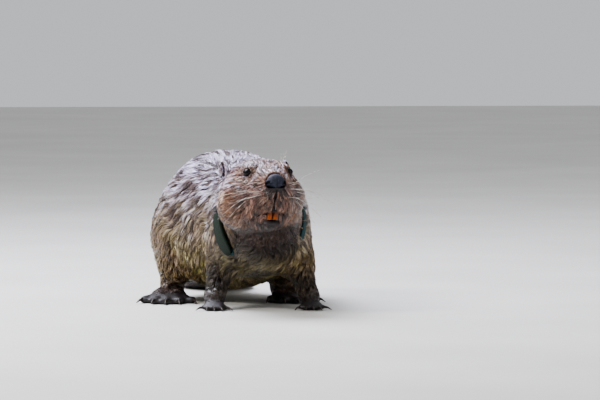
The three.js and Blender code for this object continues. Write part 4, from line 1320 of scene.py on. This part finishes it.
# ---- tail scales -------------------------------------------------------------------------------
SCALE = {"across": 5.2 * MM, "along": 6.6 * MM, "proud": 0.55 * MM, "sunk": 0.6 * MM, "gap": 0.9}
SCALE_ROW = 0.75  # from one row to the next, as a share of a scale's length
SCALE_CORNERS = 6
FIRST_CORNER = 30  # degrees from straight across
CORNER_ACROSS = 0.577  # from the middle to a corner, as a share of the width
CORNER_ALONG = 0.5
SCALE_TOP = 0.62  # the size of its top and its bottom as shares of the rim's
SCALE_BOTTOM = 0.8
SCALE_PEAK = 1.15  # how high the middle of the top is, as a share of the top's height
SCALE_SIZES = (0.92, 1.04)
SCALE_HEIGHTS = (0.7, 1.2)
SCALED_TAIL = 0.55  # how much of a vertex has to be tail blade
FACING = 0.35  # how squarely the skin has to face up or down
RAY_START = 0.05  # above or below the tail
OFF_FLOOR = 1.5 * MM  # no scales below this


def scale_places(skin, tree, up):
    """The middle and outward direction of every scale on the upper or lower face of the tail."""
    tail = skin.part("tail_blade") > SCALED_TAIL
    low, high = skin.verts[tail].min(0), skin.verts[tail].max(0)
    spots, outs = [], []
    rows = int((high[1] - low[1]) / (SCALE_ROW * SCALE["along"]))
    columns = int((high[0] - low[0]) / SCALE["across"])
    start = (high[2] if up > 0 else low[2]) + up * RAY_START
    for row in range(rows + 1):
        for column in range(columns + 1):
            x = low[0] + (column + 0.5 * (row % 2)) * SCALE["across"]
            y = low[1] + row * SCALE_ROW * SCALE["along"]
            spot, out, face, _ = tree.ray_cast((x, y, start), (0, 0, -up))
            if spot is None or up * out.z < FACING or not tail[skin.tris[face]].all():
                continue
            spots.append(spot[:])
            outs.append(out[:])
    return np.array(spots), np.array(outs)


def scale_triangles():
    """Of one scale: rings round its top, rim and bottom, then the middles of its top and bottom."""
    top, rim, bottom, middle = (SCALE_CORNERS * k for k in range(4))
    tris = []
    for k in range(SCALE_CORNERS):
        n = (k + 1) % SCALE_CORNERS
        tris += [(top + k, rim + n, top + n), (top + k, rim + k, rim + n)]
        tris += [(rim + k, bottom + n, rim + n), (rim + k, bottom + k, bottom + n)]
        tris += [(middle, top + k, top + n), (middle + 1, bottom + n, bottom + k)]
    return np.array(tris)


def scale_points(spot, out, rng):
    """The points of a scale at a spot, in the order of scale_triangles()."""
    turn = np.radians(np.arange(SCALE_CORNERS) * 360 / SCALE_CORNERS + FIRST_CORNER)
    along = unit(np.array([0, 1, 0]) - out * out[1])
    across = np.cross(along, out)
    size = rng.uniform(*SCALE_SIZES) * SCALE["gap"]
    corners = across * np.cos(turn)[:, None] * SCALE["across"] * CORNER_ACROSS
    corners = (corners + along * np.sin(turn)[:, None] * SCALE["along"] * CORNER_ALONG) * size
    rise = out * (SCALE["proud"] * rng.uniform(*SCALE_HEIGHTS))
    foot = spot - out * SCALE["sunk"]
    middles = [spot + rise * SCALE_PEAK, foot]
    top, bottom = spot + rise + corners * SCALE_TOP, foot + corners * SCALE_BOTTOM
    return np.concatenate([top, spot + corners, bottom, middles])


def make_scales(skin, tree, material, rng):
    """Six-sided plates laid like tiles, each a closed low lid, on both faces of the tail."""
    tris = scale_triangles()
    scales = []
    for up in (1, -1):
        for spot, out in zip(*scale_places(skin, tree, up)):
            if up > 0 or spot[2] > OFF_FLOOR:
                scales.append((scale_points(spot, out, rng), tris))
    piece("tail_scales", mesh_of("tail_scales", *stacked(scales)), material, "tail_skin")


# ---- harness -----------------------------------------------------------------------------------
WELD = 1e-5
FLAT_ANGLE = math.radians(1)
SHARP_ANGLE = math.radians(40)
ROUNDED = {"strap": (0.5 * MM, 2), "hard": (0.7 * MM, 3), "panel": (1.2 * MM, 3)}  # width, cuts


def eased_copy(name, width, cuts):
    """A node's own shape with its sharp edges rounded over."""
    verts, tris, _ = joined([name])
    made = modified(
        name,
        verts,
        tris,
        ("WELD", dict(merge_threshold=WELD)),
        ("DECIMATE", dict(decimate_type="DISSOLVE", angle_limit=FLAT_ANGLE)),
        ("BEVEL", dict(width=width, segments=cuts, limit_method="ANGLE", angle_limit=SHARP_ANGLE)),
        ("TRIANGULATE", {}),
    )
    made.polygons.foreach_set("use_smooth", np.ones(len(made.polygons), bool))
    return made


def tucked(mesh, tree):
    """Presses the hidden stretches of a strap a little deeper into the coat."""
    verts, _ = arrays_of(mesh)
    spots, _, _ = nearest(tree, verts)
    inward = unit(spots - verts) * (STRAP_TUCK * (1 - shown(verts)))[:, None]
    mesh.vertices.foreach_set("co", np.asarray(verts + inward, np.float32).ravel())
    return mesh


def make_harness(tree):
    cloth, padding = cloth_material("webbing"), cloth_material("panel")
    plastic = plain_material("buckle")
    for name in HARNESS:
        short = name.replace("harness_", "")
        if short == "panel":
            piece("panel", eased_copy(name, *ROUNDED["panel"]), padding, "panel", name)
        elif name in STRAPS:
            strap = tucked(eased_copy(name, *ROUNDED["strap"]), tree)
            piece(f"webbing_{short}", strap, cloth, "webbing", name)
        else:
            hard = eased_copy(name, *ROUNDED["hard"])
            piece(f"{short}_fine", hard, plastic, "buckle", name)


# ---- materials ---------------------------------------------------------------------------------
def colour(code):
    """A colour written as 0xRRGGBB, as the renderer's linear numbers."""
    parts = [(code >> shift & 255) / 255 for shift in (16, 8, 0)]
    return [p / 12.92 if p <= 0.04045 else ((p + 0.055) / 1.055) ** 2.4 for p in parts] + [1]


class Nodes:
    """A material's node tree, with short ways to add what these materials use."""

    def __init__(self, name, **settings):
        self.material = bpy.data.materials.new(name)
        self.material.use_nodes = True
        self.tree = self.material.node_tree
        self.shader = self.tree.nodes["Principled BSDF"]
        for socket, value in settings.items():
            self.shader.inputs[socket.replace("_", " ")].default_value = value
        self.place = self.tree.nodes.new("ShaderNodeTexCoord").outputs["Object"]

    def new(self, kind, **inputs):
        node = self.tree.nodes.new(kind)
        for key, value in inputs.items():
            self.feed(node.inputs[key.replace("_", " ")], value)
        return node

    def feed(self, socket, value):
        if isinstance(value, bpy.types.NodeSocket):
            self.tree.links.new(value, socket)
        else:
            socket.default_value = value

    def attribute(self, name):
        node = self.new("ShaderNodeAttribute")
        node.attribute_name = name
        return node.outputs["Fac"]

    def noise(self, scale, detail=4, stretch=None):
        place = self.place
        if stretch:
            mapping = self.new("ShaderNodeMapping", Vector=place, Scale=stretch)
            place = mapping.outputs["Vector"]
        return self.new(
            "ShaderNodeTexNoise", Vector=place, Scale=scale, Detail=detail
        ).outputs["Fac"]

    def cells(self, scale):
        node = self.new("ShaderNodeTexVoronoi", Vector=self.place, Scale=scale)
        return node.outputs["Distance"]

    def sum(self, a, b, operation="ADD"):
        node = self.tree.nodes.new("ShaderNodeMath")
        node.operation = operation
        self.feed(node.inputs[0], a)
        self.feed(node.inputs[1], b)
        return node.outputs[0]

    def between(self, value, low, high, to_low=0.0, to_high=1.0):
        ends = dict(From_Min=low, From_Max=high, To_Min=to_low, To_Max=to_high)
        return self.new("ShaderNodeMapRange", Value=value, **ends).outputs["Result"]

    def ramp(self, value, *stops):
        node = self.new("ShaderNodeValToRGB", Fac=value)
        elements = node.color_ramp.elements
        while len(elements) < len(stops):
            elements.new(0.5)
        for element, (place, code) in zip(elements, stops):
            element.position = place
            element.color = colour(code)
        return node.outputs["Color"]

    def mix(self, amount, a, b, blend="MIX"):
        node = self.tree.nodes.new("ShaderNodeMix")
        node.data_type = "RGBA"
        node.blend_type = blend
        self.feed(node.inputs["Factor"], amount)
        self.feed(node.inputs[6], a)
        self.feed(node.inputs[7], b)
        return node.outputs[2]

    def finish(self, base, bump=None, strength=0, distance=0):
        self.feed(self.shader.inputs["Base Color"], base)
        if bump is not None:
            node = self.new("ShaderNodeBump", Strength=strength, Distance=distance, Height=bump)
            self.tree.links.new(node.outputs["Normal"], self.shader.inputs["Normal"])
        return self.material


# The materials' surfaces, their noises as scale, detail and stretch, and their bumps as strength
# and depth.
SURFACE = {
    "wet_fur": dict(Roughness=0.34, Specular_IOR_Level=0.65, Coat_Weight=0.4, Coat_Roughness=0.2),
    "skin": dict(Roughness=0.5, Specular_IOR_Level=0.5),
    "nose_skin": dict(Roughness=0.62, Specular_IOR_Level=0.28),
    "eye": dict(Roughness=0.03, Specular_IOR_Level=0.24),
    "enamel": dict(Roughness=0.3, Specular_IOR_Level=0.4),
    "floor": dict(Roughness=0.7),
}
TEXTURE = {
    "warm_patches": (70,),
    "dark_patches": (160, 2),
    "strands": (1400, 2, (1, 1, 0.25)),
    "leather": (300,),
    "grain": (500,),
    "nose": (260,),
    "tooth_streaks": (900, 3, (1, 1, 0.12)),
    "tooth_ridges": (1200, 2, (1, 1, 0.1)),
    "floor": (3,),
}
PEBBLES = {"skin": 900, "nose_skin": 1500}
BUMP = {
    "wet_fur": (0.35, 0.2 * MM),
    "skin": (0.5, 0.4 * MM),
    "nose_skin": (0.6, 0.3 * MM),
    "enamel": (0.2, 0.1 * MM),
}
LEATHER = ((0.3, 0x141011), (0.7, 0x2C2526))
NOSE = ((0.3, 0x1D1F29), (0.7, 0x323543))
NOSE_EDGE = 0x5F5864
# painted shade in the nostrils, the groove and under the nose pad
NOSE_SHADE = 0x070607
TOOTH = (0x702F01, 0xA04F04)  # the streaks' two colours
TOOTH_LOW = 0x4E2003
TOOTH_STREAKS = (0.3, 0.7)
# From the middle of the pupil, by turns of a right angle.
IRIS = ((0.0, 0x020202), (0.26, 0x030202), (0.34, 0x140C08), (0.62, 0x080504))

# The coat's colours, and how its marks are spread over them: from one value of a mark to another,
# from one amount to another.
# The body's colours run from mauve to olive; the green of the olive end is partly painted bounce
# light.
OLIVE = ((0.0, 0x95808A), (0.3, 0x9C8778), (0.6, 0xA4926A), (1.0, 0xA89E52))
RUSSET = ((0.0, 0x8C6B6A), (0.5, 0x95633F), (1.0, 0xAE7836))
FUR = {
    "pale": 0xCDB3A4,
    "dark": 0x1E1718,
    "deep": 0x78686A,
    # the colours of the painted sheen, the sky light's pale reflection on wet hair
    "wet_gold": 0xECE3CC,
    "wet_russet": 0xF4D0B8,
    "wet_grey": 0xE9E2FC,
    "root": 0x2A2122,
}
SPREADS = {
    "warm_patches": (0.3, 0.7, -0.12, 0.12),
    "pale_locks": (0.6, 1.0, 0.0, 0.45),
    "dark_patches": (0.3, 0.7, -0.1, 0.1),
    "dark": (0, 1, 0, 0.9),
    "deep_locks": (0.05, 0.65),
    "frost_by_lock": (0, 1, -0.55, 0.55),
    "frost_starts": (0.02, 0.3),
    "frost": (0.25, 0.75, 0.0, 0.85),
    "gold": (0.25, 0.55),
    "root": (0.0, 0.75, 0.4, 0.0),
}


def fur_colour(n):
    """The coat's markings and its painted sheen, the same on the skin and on the locks."""

    def amount(value, name):
        return n.between(value, *SPREADS[name])

    hues = {name: colour(code) for name, code in FUR.items()}
    lock, russet, share = (n.attribute(name) for name in ("lock", "russet", "frost"))
    patches = {name: n.noise(*TEXTURE[name]) for name in ("warm_patches", "dark_patches")}
    warm = n.sum(n.attribute("warm"), amount(patches["warm_patches"], "warm_patches"))
    base = n.mix(russet, n.ramp(warm, *OLIVE), n.ramp(warm, *RUSSET))
    base = n.mix(amount(lock, "pale_locks"), base, hues["pale"])
    dark = n.sum(n.attribute("dark"), amount(patches["dark_patches"], "dark_patches"))
    base = n.mix(amount(dark, "dark"), base, hues["dark"])
    deep = n.mix(1.0, base, hues["deep"], "MULTIPLY")
    base = n.mix(amount(lock, "deep_locks"), deep, base)
    # the painted sheen of sky light on wet hair, more on some clumps than on others
    tone = n.sum(amount(lock, "frost_by_lock"), amount(share, "frost_starts"), "MULTIPLY")
    tinge = n.mix(russet, hues["wet_gold"], hues["wet_russet"])
    sheen = n.mix(amount(warm, "gold"), hues["wet_grey"], tinge)
    sheened = n.mix(amount(n.sum(share, tone), "frost"), base, sheen)
    return n.mix(amount(n.attribute("along"), "root"), sheened, hues["root"])


def coat_material():
    n = Nodes("wet_fur", **SURFACE["wet_fur"])
    return n.finish(fur_colour(n), n.noise(*TEXTURE["strands"]), *BUMP["wet_fur"])


def skin_material():
    n = Nodes("skin", **SURFACE["skin"])
    leather = n.ramp(n.noise(*TEXTURE["leather"]), *LEATHER)
    base = n.mix(n.attribute("bare"), fur_colour(n), leather)
    pebbles = n.sum(n.cells(PEBBLES["skin"]), n.noise(*TEXTURE["grain"]))
    return n.finish(base, pebbles, *BUMP["skin"])


def nose_material():
    n = Nodes("nose_skin", **SURFACE["nose_skin"])
    base = n.ramp(n.noise(*TEXTURE["nose"]), *NOSE)
    base = n.mix(n.attribute("edge"), base, colour(NOSE_EDGE))
    base = n.mix(n.attribute("dark"), base, colour(NOSE_SHADE))
    return n.finish(base, n.cells(PEBBLES["nose_skin"]), *BUMP["nose_skin"])


def eye_material():
    n = Nodes("eye", **SURFACE["eye"])
    return n.finish(n.ramp(n.attribute("iris"), *IRIS))


def enamel_material():
    n = Nodes("enamel", **SURFACE["enamel"])
    streaks = n.between(n.noise(*TEXTURE["tooth_streaks"]), *TOOTH_STREAKS)
    base = n.mix(streaks, *(colour(code) for code in TOOTH))
    base = n.mix(n.attribute("low"), colour(TOOTH_LOW), base)
    return n.finish(base, n.noise(*TEXTURE["tooth_ridges"]), *BUMP["enamel"])


# Plain materials of two colours in soft patches: how rough and shiny it is, the settings of the
# patches' noise, where the colours lie on it, and the bump's scale, strength and depth.
PLAIN = {
    "claw": (0.35, 0.5, (500, 4, (1, 1, 0.4)), (0.3, 0x1A1412), (0.7, 0x3A2E28), (900, 0.25, 0.15)),
    "whisker": (0.3, 0.6, (200,), (0.35, 0x8C7A68), (0.65, 0xE6DFD8), None),
    "tail_skin": (0.42, 0.5, (120,), (0.3, 0x1E1A1A), (0.7, 0x3D3533), (1200, 0.35, 0.2)),
    "buckle": (0.38, 0.5, (400,), (0.3, 0x0B0B0C), (0.7, 0x1A1A1C), (1500, 0.2, 0.1)),
}
# Woven ones: how rough and shiny it is, the scale of the weave, its two colours, the scale of its
# padding's bumps, and the bump's depth.
CLOTH = {
    "webbing": (0.75, 0.25, 1300, 0x0D2528, 0x1B3D40, None, 0.3),
    "panel": (0.65, 0.2, 900, 0x0B120B, 0x1A281D, 60, 0.5),
}
WEAVE = (0.1, 0.6)
WEAVE_STRENGTH = 0.6


def plain_material(name):
    rough, shiny, patches, dark, light, bump = PLAIN[name]
    n = Nodes(name, Roughness=rough, Specular_IOR_Level=shiny)
    base = n.ramp(n.noise(*patches), dark, light)
    if bump is None:
        return n.finish(base)
    scale, strength, depth = bump
    return n.finish(base, n.noise(scale), strength, depth * MM)


def cloth_material(name):
    rough, shiny, scale, dark, light, padding, depth = CLOTH[name]
    n = Nodes(name, Roughness=rough, Specular_IOR_Level=shiny)
    weave = n.cells(scale)
    base = n.mix(n.between(weave, *WEAVE), colour(dark), colour(light))
    bump = n.sum(weave, n.noise(padding)) if padding else weave
    return n.finish(base, bump, WEAVE_STRENGTH, depth * MM)


# ---- floor, light and camera -------------------------------------------------------------------
VIEW = {"azimuth": -4.5, "elevation": 3, "distance": 7.5, "lens": 300, "sensor": 36, "reach": 100}
AIM = {"right": 36.75 * MM, "down": 27.75 * MM}  # where the camera points, from the nose pad


def look(obj, place, target):
    obj.location = place
    obj.rotation_euler = (target - place).to_track_quat("-Z", "Y").to_euler()


def make_camera():
    turn, rise = math.radians(VIEW["azimuth"]), math.radians(VIEW["elevation"])
    flat = math.cos(rise)
    back = Vector((math.sin(turn) * flat, -math.cos(turn) * flat, math.sin(rise)))
    right = Vector((math.cos(turn), math.sin(turn), 0))
    up = right.cross(-back)
    target = middle_of("nose_pad") + right * AIM["right"] - up * AIM["down"]
    camera = linked("camera", bpy.data.cameras.new("camera"))
    camera.data.lens = VIEW["lens"]
    camera.data.sensor_width = VIEW["sensor"]
    camera.data.clip_end = VIEW["reach"]
    look(camera, target + back * VIEW["distance"], target)
    bpy.context.scene.camera = camera


# Where each light is, its size, its power and its tint.
LIGHTS = {
    "sky": ((-0.9, 0.5, 2.4), (2.0, 1.6), 150, (0.85, 0.88, 1.0)),
    "key": ((-2.0, -1.5, 2.0), (0.6, 0.6), 50, (1.0, 0.97, 0.94)),
    "fill": ((2.2, -2.6, 1.0), (1.6, 1.2), 12, (1.0, 0.97, 0.93)),
}
LIT_POINT = Vector((0, -0.1, 0.1))
ROOM = {"Color": (0.86, 0.88, 0.92, 1), "Strength": 0.62}
FLOOR_HALF = 9
FLOOR_COLOURS = ((0.3, 0xC9C7C2), (0.7, 0xD2D0CB))


def make_light(name, place, size, power, tint):
    light = bpy.data.lights.new(name, "AREA")
    light.shape = "RECTANGLE"
    light.size, light.size_y = size
    light.energy = power
    light.color = tint
    look(linked(name, light), Vector(place), LIT_POINT)


def make_studio():
    """A broad sky light over its right shoulder, a key and a fill."""
    for name, settings in LIGHTS.items():
        make_light(name, *settings)
    scene = bpy.context.scene
    scene.world = bpy.data.worlds.new("room")
    scene.world.use_nodes = True
    for key, value in ROOM.items():
        scene.world.node_tree.nodes["Background"].inputs[key].default_value = value
    scene.view_settings.view_transform = "AgX"
    scene.view_settings.look = "AgX - Medium High Contrast"
    square = ((-1, -1, 0), (1, -1, 0), (1, 1, 0), (-1, 1, 0))
    verts = np.array(square, float) * FLOOR_HALF
    floor = linked("floor", mesh_of("floor", verts, np.array([(0, 1, 2), (0, 2, 3)])))
    n = Nodes("floor", **SURFACE["floor"])
    floor.data.materials.append(n.finish(n.ramp(n.noise(*TEXTURE["floor"]), *FLOOR_COLOURS)))


# ---- assembly ----------------------------------------------------------------------------------
rng = np.random.default_rng(7)
make_camera()
make_studio()
skin = Skin()
skin.make("skin", skin_material(), "body_fur", *FLESH)
fur = coat_material()
make_coat("coat", skin, fur, rng, ["face_fur", "face_fur", "body_fur"])
for side, sign in SIDES:
    ear = Ear(side, sign)
    ear.make(f"ear_{side}_skin", skin_material(), "ear_skin", f"ear_{side}")
    make_coat(f"ear_{side}_hair", ear, fur, rng, ["face_fur"])
make_small_parts()
skin_tree = tree_of(skin.verts, skin.tris)
make_whiskers(skin_tree, plain_material("whisker"), rng)
make_scales(skin, skin_tree, plain_material("tail_skin"), rng)
make_harness(skin_tree)
